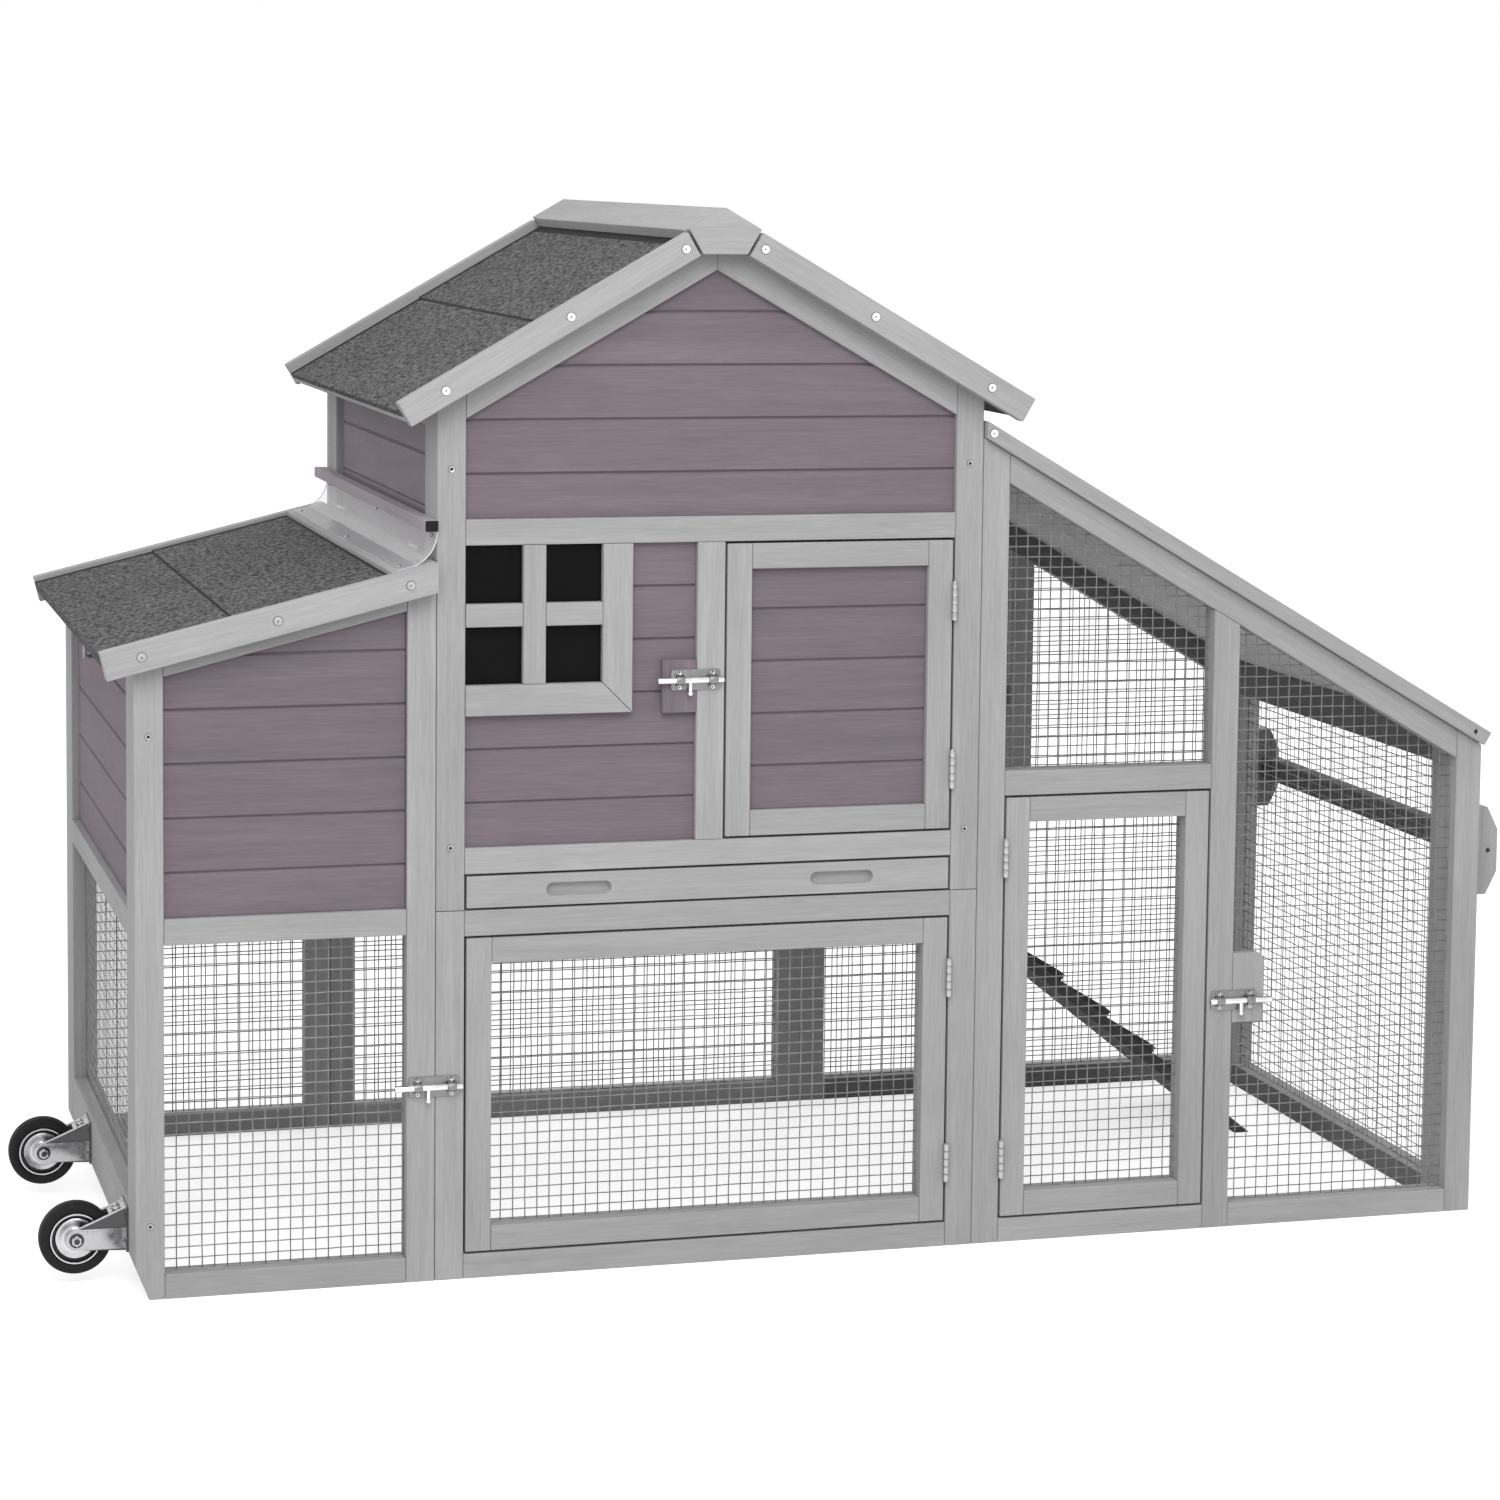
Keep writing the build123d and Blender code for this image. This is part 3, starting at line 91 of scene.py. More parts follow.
class CoopColours(bpy.types.PropertyGroup):
    """Colours of the coop's finishes."""
    light_paint: colour("Light paint", (0.46, 0.46, 0.465), "Grey paint of frames, doors and roof edges")
    mauve_paint: colour("Mauve paint", (0.231, 0.191, 0.2205), "Mauve-grey paint of the boards")
    # painted light: a lighter mauve on the house's end walls, where the lamps leave them too dark
    side_paint: colour("Side paint", (0.297, 0.259, 0.286), "Weathered mauve of the house's end walls")
    inner_wash: colour("Inner wash", (0.30, 0.295, 0.295), "Thin grey wash on the timber inside")
    # painted light: the roof boards' undersides over the run are made pale for light that does not reach
    # them
    roof_lining: colour("Roof lining", (0.9, 0.895, 0.895), "Pale primer under the run's roof")
    # painted shade: the run's rail faces that look inward are darkened for the shade under its roof
    rail_wash: colour("Rail wash", (0.225, 0.222, 0.222), "Dark wash on the run's inner rails")
    # painted shade: the handle bar and the inner faces of its plates are darkened for the shade they
    # stand in
    handle_wash: colour("Handle wash", (0.16, 0.158, 0.158), "Dark wash on the handle's inner faces")
    # painted shade: the whole ramp is darkened for the shade inside the run
    ramp_wash: colour("Ramp wash", (0.085, 0.084, 0.084), "Dark worn wash on the ramp")
    # grey-mauve paint, made lighter as painted light because the batten faces away from the key lamp
    batten_paint: colour("Batten paint", (0.44, 0.395, 0.44), "Weathered paint of the flashing's batten")
    end_grain: colour("End grain", (0.022, 0.02, 0.02), "Bare end of the batten, black with age")
    felt: colour("Felt", (0.131, 0.131, 0.133), "Mineral roofing felt")
    # bitumen and painted shade: dark strips at the felt's verges, under the ridge cap and below the laps
    # stand in for shade
    bitumen_and_shade: colour("Bitumen", (0.018, 0.018, 0.019), "Bitumen at the felt's edges and laps")
    zinc: colour("Zinc", (0.5, 0.5, 0.51), "Bright zinc plate of the hardware")
    # polished plate, brightened as a painted highlight on the rods and screws
    rod_plate: colour("Rod plate", (0.86, 0.86, 0.87), "Polished plate of the bolts' rods and the screws")
    rim_plate: colour("Rim plate", (0.7, 0.69, 0.71), "Bright plate of the wheels' centres")
    # dull plate, darkened further as painted shade round the bolts' rods and straps
    dull_plate: colour("Dull plate", (0.28, 0.28, 0.285), "Dull plate under the bolts")
    nut_plate: colour("Nut plate", (0.07, 0.07, 0.072), "Blackened washers and axle ends of the casters")
    screw_recess: colour("Screw recess", (0.05, 0.05, 0.05), "Shade in the screws' recesses and the rims")
    # painted shade: the flat faces of the forks' cheeks are darkened for the shade in their pressed
    # hollows
    fork_shade: colour("Fork shade", (0.11, 0.11, 0.113), "Dulled zinc in the casters' forks")
    tray_sheet: colour("Tray sheet", (0.5, 0.5, 0.51), "Galvanised tray")
    wire: colour("Wire", (0.245, 0.245, 0.25), "Dull galvanised mesh wire")
    pane: colour("Pane", (0.007, 0.007, 0.0075), "Dark window pane")
    clear_strip: colour("Clear strip", (0.93, 0.915, 0.94), "Clear flashing over the lid's hinges")
    rubber: colour("Rubber", (0.014, 0.014, 0.015), "Caster tyres")


class CoopSizes(bpy.types.PropertyGroup):
    """Sizes of the coop's surface detail."""
    timber_edge: length("Timber edge", 0.0009, "Rounding of planed timber edges")
    board_edge: length("Board edge", 0.0006, "Rounding of the boards' edges and grooves")
    mesh_across: length("Mesh across", 0.0131, "Distance between a mesh's upright wires")
    mesh_up: length("Mesh up", 0.0117, "Distance between a mesh's level wires")
    wire_width: length("Wire width", 0.0019, "Thickness of a mesh wire")
    felt_lap: length("Felt lap", 0.0014, "Step where one course of felt laps another")
    # the three widths below are strips of bitumen and painted shade on the felt
    verge_seal_and_shade: length("Felt seal", 0.016, "Width of the bitumen along the felt's sloping edges")
    head_seal_and_shade: length("Head seal", 0.004, "Width of the bitumen along the felt's upper edge")
    lap_seal_and_shade: length("Lap seal", 0.0022, "Width of the bitumen that shows below a lap")
    screw_head: length("Screw head", 0.0038, "Radius of the screws' heads in the posts")
    edge_screw: length("Roof edge screw", 0.0052, "Radius of the screws' heads in the roof edges")


def sizes():
    return bpy.context.scene.coop_sizes


def colours():
    return bpy.context.scene.coop_colours


# Shader nodes
NOISE_RANGE = (0.3, 0.7)         # where most of a noise's values lie


def put(tree, node, values):
    """Sets a node's sockets to values or links outputs to them; underscores stand for spaces."""
    for name, value in values.items():
        socket = node.inputs[name.replace("_", " ")]
        if isinstance(value, bpy.types.NodeSocket):
            tree.links.new(value, socket)
        else:
            socket.default_value = value


def add_node(tree, kind, **values):
    """Adds a shader node and fills its sockets."""
    node = tree.nodes.new("ShaderNode" + kind)
    put(tree, node, values)
    return node


def combined(tree, operation, a, b):
    """Output of a Math node on another output and a second one or a number."""
    node = add_node(tree, "Math")
    node.operation = operation
    tree.links.new(a, node.inputs[0])
    if isinstance(b, float):
        node.inputs[1].default_value = b
    else:
        tree.links.new(b, node.inputs[1])
    return node.outputs[0]


class Finish:
    """A node material with short calls for the nodes that it needs."""

    def __init__(self, name):
        self.material = bpy.data.materials.new(name)
        self.material.use_nodes = True
        self.tree = self.material.node_tree
        self.surface = self.tree.nodes["Principled BSDF"]

    def set(self, **values):
        """Fills sockets of the surface."""
        put(self.tree, self.surface, values)

    def place(self, scale=(1.0, 1.0, 1.0), uv=None):
        """Coordinates of the piece, or its own UV map, stretched by the scale."""
        if uv:
            source = add_node(self.tree, "UVMap")
            source.uv_map = uv
            output = source.outputs["UV"]
        else:
            output = add_node(self.tree, "TexCoord").outputs["Object"]
        return add_node(self.tree, "Mapping", Vector=output, Scale=scale).outputs["Vector"]

    def noise(self, place, scale=1.0, detail=3.0, rough=0.5, distortion=0.0):
        node = add_node(self.tree, "TexNoise", Vector=place, Scale=scale, Detail=detail, Roughness=rough,
                        Distortion=distortion)
        return node.outputs["Fac"]

    def spread(self, value, low, high):
        """Stretches a noise's usual range to low..high."""
        node = add_node(self.tree, "MapRange", Value=value, From_Min=NOISE_RANGE[0],
                        From_Max=NOISE_RANGE[1], To_Min=low, To_Max=high)
        return node.outputs["Result"]

    def vary(self, value, depth):
        """A factor about 1 that follows a noise."""
        return self.spread(value, 1.0 - depth, 1.0 + depth)

    def times(self, a, b):
        return combined(self.tree, "MULTIPLY", a, b)

    def plus(self, a, b):
        return combined(self.tree, "ADD", a, b)

    def tint(self, base, amount):
        """The base colour made lighter or darker by a factor."""
        node = add_node(self.tree, "VectorMath")
        node.operation = "SCALE"
        node.inputs[0].default_value = base
        put(self.tree, node, {"Scale": amount})
        self.set(Base_Color=node.outputs[0])

    def bump(self, height, depth, strength):
        node = add_node(self.tree, "Bump", Height=height, Distance=depth, Strength=strength)
        self.set(Normal=node.outputs["Normal"])

    def attribute(self, name):
        node = add_node(self.tree, "Attribute")
        node.attribute_name = name
        return node.outputs["Fac"]


# Finishes
STREAKS = (2.6, 88.0, 1.0)       # repeats in a metre along and across the grain
FIBRES = (26.0, 460.0, 1.0)
FIGURE = (1.3, 15.0, 1.0)
ROLLING = (60.0, 60.0, 900.0)    # repeats in a metre of rolled plate's faint lines
GRANULES = (1.0, 0.45, 1.0)      # granules are longer along the eaves


def painted_timber(paint, streak, fibre):
    """Thin paint on planed softwood: streaks along the grain, fine fibres and a tone for each stick."""
    finish = Finish(paint)
    long_streaks = finish.noise(finish.place(STREAKS, "grain"), detail=5.0, rough=0.62, distortion=1.2)
    fibres = finish.noise(finish.place(FIBRES, "grain"), detail=2.0, rough=0.6)
    figure = finish.noise(finish.place(FIGURE, "grain"), detail=2.0, distortion=2.4)
    blotches = finish.noise(finish.place(), scale=7.0, detail=2.0)
    amount = finish.times(finish.vary(long_streaks, streak), finish.vary(fibres, fibre))
    amount = finish.times(amount, finish.times(finish.vary(figure, 0.055), finish.vary(blotches, 0.03)))
    finish.tint(getattr(colours(), paint), finish.times(amount, finish.attribute("tone")))
    finish.bump(finish.plus(long_streaks, fibres), depth=0.0005, strength=0.35)
    finish.set(Roughness=finish.spread(long_streaks, 0.6, 0.76), Specular_IOR_Level=0.12)
    return finish.material


def mineral_felt():
    """Dark felt covered in mineral granules."""
    finish = Finish("mineral_felt")
    granules = finish.noise(finish.place(GRANULES), scale=230.0, detail=1.5, rough=0.6)
    patches = finish.noise(finish.place(), scale=9.0, detail=2.0)
    finish.tint(colours().felt, finish.times(finish.vary(granules, 0.7), finish.vary(patches, 0.06)))
    finish.bump(granules, depth=0.0016, strength=0.8)
    finish.set(Roughness=0.93, Specular_IOR_Level=0.08)
    return finish.material


def soft_bitumen_and_shade():
    """Black bitumen with a dull, lumpy skin; also laid as painted shade along the felt's verges, under
    the ridge cap and below the laps.
    """
    finish = Finish("soft_bitumen_and_shade")
    lumps = finish.noise(finish.place(), scale=180.0, detail=2.0)
    finish.tint(colours().bitumen_and_shade, finish.spread(lumps, 0.7, 1.4))
    finish.bump(lumps, depth=0.0008, strength=0.5)
    finish.set(Roughness=finish.spread(lumps, 0.6, 0.8), Specular_IOR_Level=0.15)
    return finish.material


def plated_metal(name, base, low, high):
    """Bright plate with cloudy roughness from low to high and faint rolling lines."""
    finish = Finish(name)
    clouds = finish.noise(finish.place(), scale=160.0)
    lines = finish.noise(finish.place(ROLLING), detail=2.0)
    finish.tint(getattr(colours(), base), finish.spread(clouds, 0.88, 1.06))
    finish.bump(lines, depth=0.0002, strength=0.12)
    finish.set(Roughness=finish.spread(clouds, low, high), Metallic=1.0)
    return finish.material


def galvanised_wire():
    """Dull zinc on mesh wire."""
    finish = Finish("galvanised_wire")
    finish.tint(colours().wire, finish.vary(finish.noise(finish.place(), scale=90.0), 0.25))
    finish.set(Metallic=0.5, Roughness=0.5)
    return finish.material


def dark_pane():
    """Near-black sheet with a soft gloss."""
    finish = Finish("dark_pane")
    ripple = finish.noise(finish.place(), scale=14.0, detail=2.0)
    finish.tint(colours().pane, finish.vary(ripple, 0.1))
    finish.bump(ripple, depth=0.001, strength=0.05)
    finish.set(Roughness=finish.spread(ripple, 0.3, 0.42), Specular_IOR_Level=0.06)
    return finish.material


def clear_plastic(name, alpha):
    """Clear strip with a faint milky veil; a nearly opaque copy on its cut edges is a painted highlight.
    """
    finish = Finish(name)
    ripple = finish.noise(finish.place(), scale=30.0, detail=2.0)
    finish.tint(colours().clear_strip, finish.spread(ripple, 0.95, 1.0))
    finish.bump(ripple, depth=0.001, strength=0.15)
    finish.set(Roughness=0.08, Alpha=alpha, Specular_IOR_Level=0.8)
    return finish.material


def tyre_rubber():
    """Black rubber with a fine grain."""
    finish = Finish("tyre_rubber")
    grain = finish.noise(finish.place(), scale=420.0, detail=2.0)
    finish.tint(colours().rubber, finish.spread(grain, 0.8, 1.3))
    finish.bump(grain, depth=0.0003, strength=0.3)
    finish.set(Roughness=finish.spread(grain, 0.6, 0.75), Specular_IOR_Level=0.25)
    return finish.material


# Maker of each finish and what it is given: timber takes its colour and the depth of its streaks and
# fibres, plate takes its name, its colour and its least and greatest roughness
FINISHES = {
    "light_timber": (painted_timber, "light_paint", 0.065, 0.07),
    "mauve_timber": (painted_timber, "mauve_paint", 0.075, 0.08),
    "side_paint": (painted_timber, "side_paint", 0.07, 0.06),
    "inner_timber": (painted_timber, "inner_wash", 0.09, 0.06),
    "end_grain": (painted_timber, "end_grain", 0.2, 0.1),
    "roof_lining": (painted_timber, "roof_lining", 0.06, 0.06),
    "rail_wash": (painted_timber, "rail_wash", 0.09, 0.08),
    "handle_wash": (painted_timber, "handle_wash", 0.09, 0.08),
    "ramp_wash": (painted_timber, "ramp_wash", 0.12, 0.08),
    "batten_paint": (painted_timber, "batten_paint", 0.08, 0.05),
    "roof_felt": (mineral_felt,),
    "bitumen_and_shade": (soft_bitumen_and_shade,),
    "wire": (galvanised_wire,),
    "zinc": (plated_metal, "bright_zinc", "zinc", 0.16, 0.34),
    "rod_plate": (plated_metal, "rod_plate", "rod_plate", 0.12, 0.22),
    "screw_plate": (plated_metal, "screw_plate", "rod_plate", 0.3, 0.45),
    "rim_plate": (plated_metal, "rim_plate", "rim_plate", 0.2, 0.4),
    "dull_plate": (plated_metal, "dull_plate", "dull_plate", 0.35, 0.5),
    "nut_plate": (plated_metal, "nut_plate", "nut_plate", 0.25, 0.4),
    "screw_recess": (plated_metal, "screw_recess", "screw_recess", 0.4, 0.6),
    "fork_shade": (plated_metal, "fork_shade", "fork_shade", 0.4, 0.6),
    "tray_sheet": (plated_metal, "tray_zinc", "tray_sheet", 0.35, 0.55),
    "black_pane": (dark_pane,),
    "clear_strip": (clear_plastic, "clear_plastic", 0.3),
    "clear_edge": (clear_plastic, "clear_edge", 0.9),
    "rubber": (tyre_rubber,),
}
made_finishes = {}


def finish_of(slot):
    """The finish of a material slot, made once."""
    if slot not in made_finishes:
        maker, *values = FINISHES[slot]
        made_finishes[slot] = maker(*values)
    return made_finishes[slot]


# Shared mesh work
FLAT_ANGLE = math.radians(1.0)   # faces that meet at less than this are one face
TIMBER_CREASE = 25.0             # degrees from which an edge of timber or sheet is rounded
SOLID_CREASE = 40.0              # the same on felt and on solids with round parts
FACET_CREASE = 60.0              # the same on small shapes whose round sides are facets
METAL_SMOOTH = 40.0              # degrees up to which metal and plastic are shaded smooth
GRAIN_START = 40.0               # metres over which the starts of the sticks' grain are spread
TONE_RANGE = (0.955, 1.045)      # how far one stick is darker or lighter than the next
END_FACE = 0.3                   # an end's normal leans away from the grain by less than this


def islands(bm):
    """Lists of the vertices of each separate solid, in a fixed order; the edges are numbered too."""
    bm.edges.index_update()
    for vert in bm.verts:
        vert.tag = False
    found = []
    for vert in bm.verts:
        if vert.tag:
            continue
        vert.tag = True
        group = [vert]
        for member in group:
            for edge in member.link_edges:
                other = edge.other_vert(member)
                if not other.tag:
                    other.tag = True
                    group.append(other)
        found.append(group)
    return found


def node_mesh(node):
    """A welded working copy of a CAD node with its flat faces whole."""
    bm = bmesh.new()
    bm.from_mesh(frame["nodes"][node].data)
    bmesh.ops.remove_doubles(bm, verts=bm.verts, dist=WELD)
    bmesh.ops.dissolve_limit(bm, angle_limit=FLAT_ANGLE, verts=bm.verts, edges=bm.edges)
    return bm


def solid_mesh(node, index):
    """A working copy of one solid of a CAD node."""
    bm = node_mesh(node)
    keep = set(islands(bm)[index])
    bmesh.ops.delete(bm, geom=[vert for vert in bm.verts if vert not in keep], context="VERTS")
    return bm


def box_of(verts):
    """Lowest and highest corners of some vertices."""
    low = Vector([min(v.co[axis] for v in verts) for axis in range(3)])
    high = Vector([max(v.co[axis] for v in verts) for axis in range(3)])
    return low, high


def solids_of(node):
    """Lowest and highest corners of each solid of a CAD node."""
    bm = node_mesh(node)
    boxes = [box_of(group) for group in islands(bm)]
    bm.free()
    return boxes


def only(kind, geom):
    """The vertices, edges or faces in what an operator gave."""
    return [part for part in geom if isinstance(part, kind)]


def cut(bm, place, way, drop=False):
    """Cuts a bmesh along a plane and, if asked, drops what lies beyond it."""
    bmesh.ops.bisect_plane(bm, geom=bm.verts[:] + bm.edges[:] + bm.faces[:], dist=WELD, plane_co=place,
                           plane_no=way, clear_outer=drop)


def round_edges(bm, edges, width, segments):
    bmesh.ops.bevel(bm, geom=edges, offset=width, offset_type="OFFSET", segments=segments, profile=0.5,
                    affect="EDGES", clamp_overlap=True, material=-1)


def soften(bm, width, angle=TIMBER_CREASE):
    """Rounds every edge sharper than the angle."""
    sharp = [edge for edge in bm.edges
             if len(edge.link_faces) == 2 and edge.calc_face_angle(0.0) > math.radians(angle)]
    round_edges(bm, sharp, width, segments=2)


def finished_piece(bm, name, node, slot=None, smooth=None, rides=True, finishes=()):
    """Turns a bmesh into a piece that rides with a node's body and takes a slot's finish or its own."""
    slot = slot or SLOT_OF[node]
    mesh = bpy.data.meshes.new(name)
    bm.to_mesh(mesh)
    bm.free()
    if smooth:
        mesh.shade_smooth()
        mesh.set_sharp_from_angle(angle=math.radians(smooth))
    for finish in finishes or (slot,):
        mesh.materials.append(finish_of(finish))
    piece = bpy.data.objects.new(name, mesh)
    bpy.context.scene.collection.objects.link(piece)
    if rides:
        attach(piece, BODY_OF[node])
    return piece


def add_bmesh(bm, other):
    """Moves all of another bmesh into this one."""
    scrap = bpy.data.meshes.new("scrap")
    other.to_mesh(scrap)
    other.free()
    bm.from_mesh(scrap)
    bpy.data.meshes.remove(scrap)


def longest_way(verts):
    """Direction of a solid's longest edge."""
    edges = {edge for vert in verts for edge in vert.link_edges}
    best = max(sorted(edges, key=lambda e: e.index), key=lambda e: round(e.calc_length(), 5))
    return (best.verts[1].co - best.verts[0].co).normalized()


def level_way(verts):
    """Level direction along a boarded panel."""
    low, high = box_of(verts)
    size = high - low
    return ALONG_X if size.x > size.y else ALONG_Y


def lay_grain(bm, way_of, board_height=None):
    """Gives each stick or board a UV map along its grain, in metres, and its own tone."""
    chance = random.Random(SEED)
    grain = bm.loops.layers.uv.new("grain")
    tone = bm.faces.layers.float.new("tone")
    for group in islands(bm):
        way = way_of(group)
        low, high = box_of(group)
        rows = int((high.z - low.z) / board_height) + 2 if board_height else 1
        starts = [(chance.uniform(0, GRAIN_START), chance.uniform(0, GRAIN_START),
                   chance.uniform(*TONE_RANGE)) for row in range(rows)]
        for face in {face for vert in group for face in vert.link_faces}:
            row = int((face.calc_center_median().z - low.z) / board_height) if board_height else 0
            start = starts[row]
            along, across = way, face.normal.cross(way)
            if across.length < END_FACE:
                along, across = way.orthogonal(), way.orthogonal().cross(way)
            across.normalize()
            for loop in face.loops:
                loop[grain].uv = (loop.vert.co.dot(along) + start[0], loop.vert.co.dot(across) + start[1])
            face[tone] = start[2]


# Pieces of timber
PANELS = ("nest_boards", "house_front_boards", "house_back_boards", "house_side_boards",
          "upper_door_boards")
TIMBER_SLOTS = ("light_timber", "mauve_timber", "inner_timber")
BOARD_HEIGHT = 0.056
UPPER_STOREY = 0.45              # height that parts the upper bolt's pad from the run's
LINING_SLOPE = -0.7              # a roof board's underside looks further down than this


def on_upper_pad(face):
    return face.calc_center_median().z > UPPER_STOREY


def looks_along_y(face):
    return abs(face.normal.y) > FACING


# faces that look into the coop; on the handle's plates they take painted shade
def on_shaded_inside(face):
    return face.normal.y * face.calc_center_median().y < 0.0 and looks_along_y(face)


def on_run_underside(face):
    """Undersides of the roof boards over the run, which take painted light."""
    return face.normal.z < LINING_SLOPE and face.calc_center_median().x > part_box("run_front_frame")[0].x


def on_shaded_inner_rail(face):
    """Faces of level and sloping rails that look into the run; they take painted shade."""
    low, high = box_of(face.verts)
    middle, size = (low + high) / 2, high - low
    outward = min(face.normal.x * middle.x, face.normal.y * middle.y)
    return outward < -FACING * min(abs(middle.x), abs(middle.y)) and max(size.x, size.y) > size.z


# the ramp and the handle bar take painted shade, the batten and the house's end walls painted light
OWN_PAINTS = {"ramp": "ramp_wash", "flashing_batten": "batten_paint", "handle_bar": "handle_wash",
              "house_side_boards": "side_paint"}
SECOND_PAINTS = {
    "bolt_pads": ("mauve_timber", on_upper_pad),
    "flashing_batten": ("end_grain", looks_along_y),
    "handle_plates": ("handle_wash", on_shaded_inside),
    "roof_boards": ("roof_lining", on_run_underside),
    "run_back_frame": ("rail_wash", on_shaded_inner_rail),
    "run_end_frame": ("rail_wash", on_shaded_inner_rail),
}


class COOP_OT_timber(bpy.types.Operator):
    """Frames, boards, doors, roof boards and ramp as planed and painted timber"""
    bl_idname = "coop.timber"
    bl_label = "Timber"

    def execute(self, context):
        for node in sorted(SLOT_OF):
            if SLOT_OF[node] not in TIMBER_SLOTS:
                continue
            bm = node_mesh(node)
            if node in PANELS:
                lay_grain(bm, level_way, BOARD_HEIGHT)
                soften(bm, sizes().board_edge)
            else:
                lay_grain(bm, longest_way)
                soften(bm, sizes().timber_edge)
            paints = [OWN_PAINTS.get(node, SLOT_OF[node])]
            if node in SECOND_PAINTS:
                second, chosen = SECOND_PAINTS[node]
                paints.append(second)
                for face in bm.faces:
                    face.material_index = int(chosen(face))
            piece = finished_piece(bm, node + "_timber", node, finishes=paints)
            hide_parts(node)
        return {"FINISHED"}


# Wire mesh
MESH_NODES = ("nest_mesh", "house_back_mesh", "lower_door_mesh", "run_door_mesh", "run_mesh")
WIRE_WANDER = 0.0004
LONG_DRIFT = 24.0                # waves of the wires' wander in a metre
SHORT_DRIFT = 90.0
SHORT_SHARE = 0.6                # size of the short waves beside the long ones
WIRE_FLAT = 0.5                  # thickness of the rolled wire as a share of its width
SELVEDGE = 0.003                 # wires this near an end belong to the panel's edge
SLOPE_START = 5 * SELVEDGE       # the top edge's slope is read from here on


def near_groups(groups):
    """Joins groups of vertices whose boxes lie closer together than the selvedge."""
    joined = []
    for group in groups:
        low, high = box_of(group)
        for other in joined:
            far_low, far_high = box_of(other)
            if all(low[a] < far_high[a] + SELVEDGE and far_low[a] < high[a] + SELVEDGE for a in range(3)):
                other.extend(group)
                break
        else:
            joined.append(list(group))
    return joined


def mesh_panels(node):
    """The panels of a mesh node: two corners, the level axis and the top's height at both ends."""
    bm = node_mesh(node)
    panels = []
    for group in near_groups(islands(bm)):
        low, high = box_of(group)
        axis = 0 if high.x - low.x > high.y - low.y else 1
        near = max(v.co.z for v in group if v.co[axis] < low[axis] + SELVEDGE)
        slope = max((v.co.z - near) / (v.co[axis] - low[axis]) for v in group
                    if v.co[axis] > low[axis] + SLOPE_START)
        panels.append((low, high, axis, near, near + slope * (high[axis] - low[axis])))
    bm.free()
    return panels


def wander(panel, through):
    """Moves a panel's crossings a little within its plane."""
    for vert in panel.verts:
        drift = noise.noise_vector(vert.co * LONG_DRIFT)
        drift += SHORT_SHARE * noise.noise_vector(vert.co * SHORT_DRIFT)
        vert.co += WIRE_WANDER * (drift - through * drift.dot(through))


def add_wires(bm, low, high, axis, near, far):
    """Adds one panel of welded mesh to a bmesh: a slightly uneven grid turned into wires."""
    panel = bmesh.new()
    width = high[axis] - low[axis]
    height = max(near, far) - low.z
    columns = max(1, round(width / sizes().mesh_across))
    rows = max(1, round(height / sizes().mesh_up))
    along = (ALONG_X, ALONG_Y)[axis]
    through = ALONG_Z.cross(along)
    middle = (low + high) / 2
    middle.z = low.z + height / 2
    stand = Matrix.Translation(middle) @ axes_matrix(along, ALONG_Z, through)
    stretch = Matrix.Diagonal((width, height, 1.0, 1.0))
    bmesh.ops.create_grid(panel, x_segments=columns, y_segments=rows, size=0.5, matrix=stand @ stretch)
    wander(panel, through)
    if abs(near - far) > SELVEDGE:
        top = along * width + ALONG_Z * (far - near)
        corner = Vector((low.x, low.y, near))
        edge_normal = ALONG_Z - along * (far - near) / width
        cut(panel, corner + top / 2, edge_normal.normalized(), drop=True)
    bmesh.ops.wireframe(panel, faces=panel.faces, thickness=sizes().wire_width, use_replace=True,
                        use_boundary=True)
    bmesh.ops.scale(panel, vec=(1.0, 1.0, WIRE_FLAT), space=stand.inverted(), verts=panel.verts)
    bmesh.ops.recalc_face_normals(panel, faces=panel.faces)
    add_bmesh(bm, panel)


class COOP_OT_wire_mesh(bpy.types.Operator):
    """Welded wire mesh in the frames and doors"""
    bl_idname = "coop.wire_mesh"
    bl_label = "Wire mesh"

    def execute(self, context):
        noise.seed_set(SEED)
        for node in MESH_NODES:
            bm = bmesh.new()
            for panel in mesh_panels(node):
                add_wires(bm, *panel)
            piece = finished_piece(bm, node + "_wires", node)
            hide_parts(node)
        return {"FINISHED"}


# Small shapes
CORNER_SEGMENTS = 4
TURN_STEPS = 56
SCREW_RIM = 0.42                 # share of a screw's head around its recess
SCREW_TAPER = 0.88               # a head's top beside its foot
SCREW_HEIGHT = 0.0008
SCREW_RAISE = 0.0003             # how far a head's middle lies above the face that it is in
RECESS_DEPTH = 0.0004


def way_matrix(place, way, axis="Z"):
    """Turns an axis to a direction and moves to a place."""
    return Matrix.Translation(place) @ Vector(way).to_track_quat(axis, "Y").to_matrix().to_4x4()


def axes_matrix(x, y, z):
    """Turns the three axes to the given directions."""
    return Matrix((x, y, z)).transposed().to_4x4()


def add_rod(bm, start, end, radius, segments=14, tip=0.0):
    """Adds a round bar, with its ends softened if a tip is given."""
    rod = bmesh.new()
    way = Vector(end) - Vector(start)
    bmesh.ops.create_cone(rod, cap_ends=True, segments=segments, radius1=radius, radius2=radius,
                          depth=way.length)
    if tip:
        soften(rod, tip, FACET_CREASE)
    bmesh.ops.transform(rod, matrix=way_matrix((Vector(start) + Vector(end)) / 2, way), verts=rod.verts)
    add_bmesh(bm, rod)


def add_block(bm, middle, size, turn=Matrix.Identity(4)):
    """Adds a box, turned about its middle."""
    stretch = Matrix.Diagonal((size[0], size[1], size[2], 1.0))
    bmesh.ops.create_cube(bm, size=1.0, matrix=Matrix.Translation(middle) @ turn @ stretch)


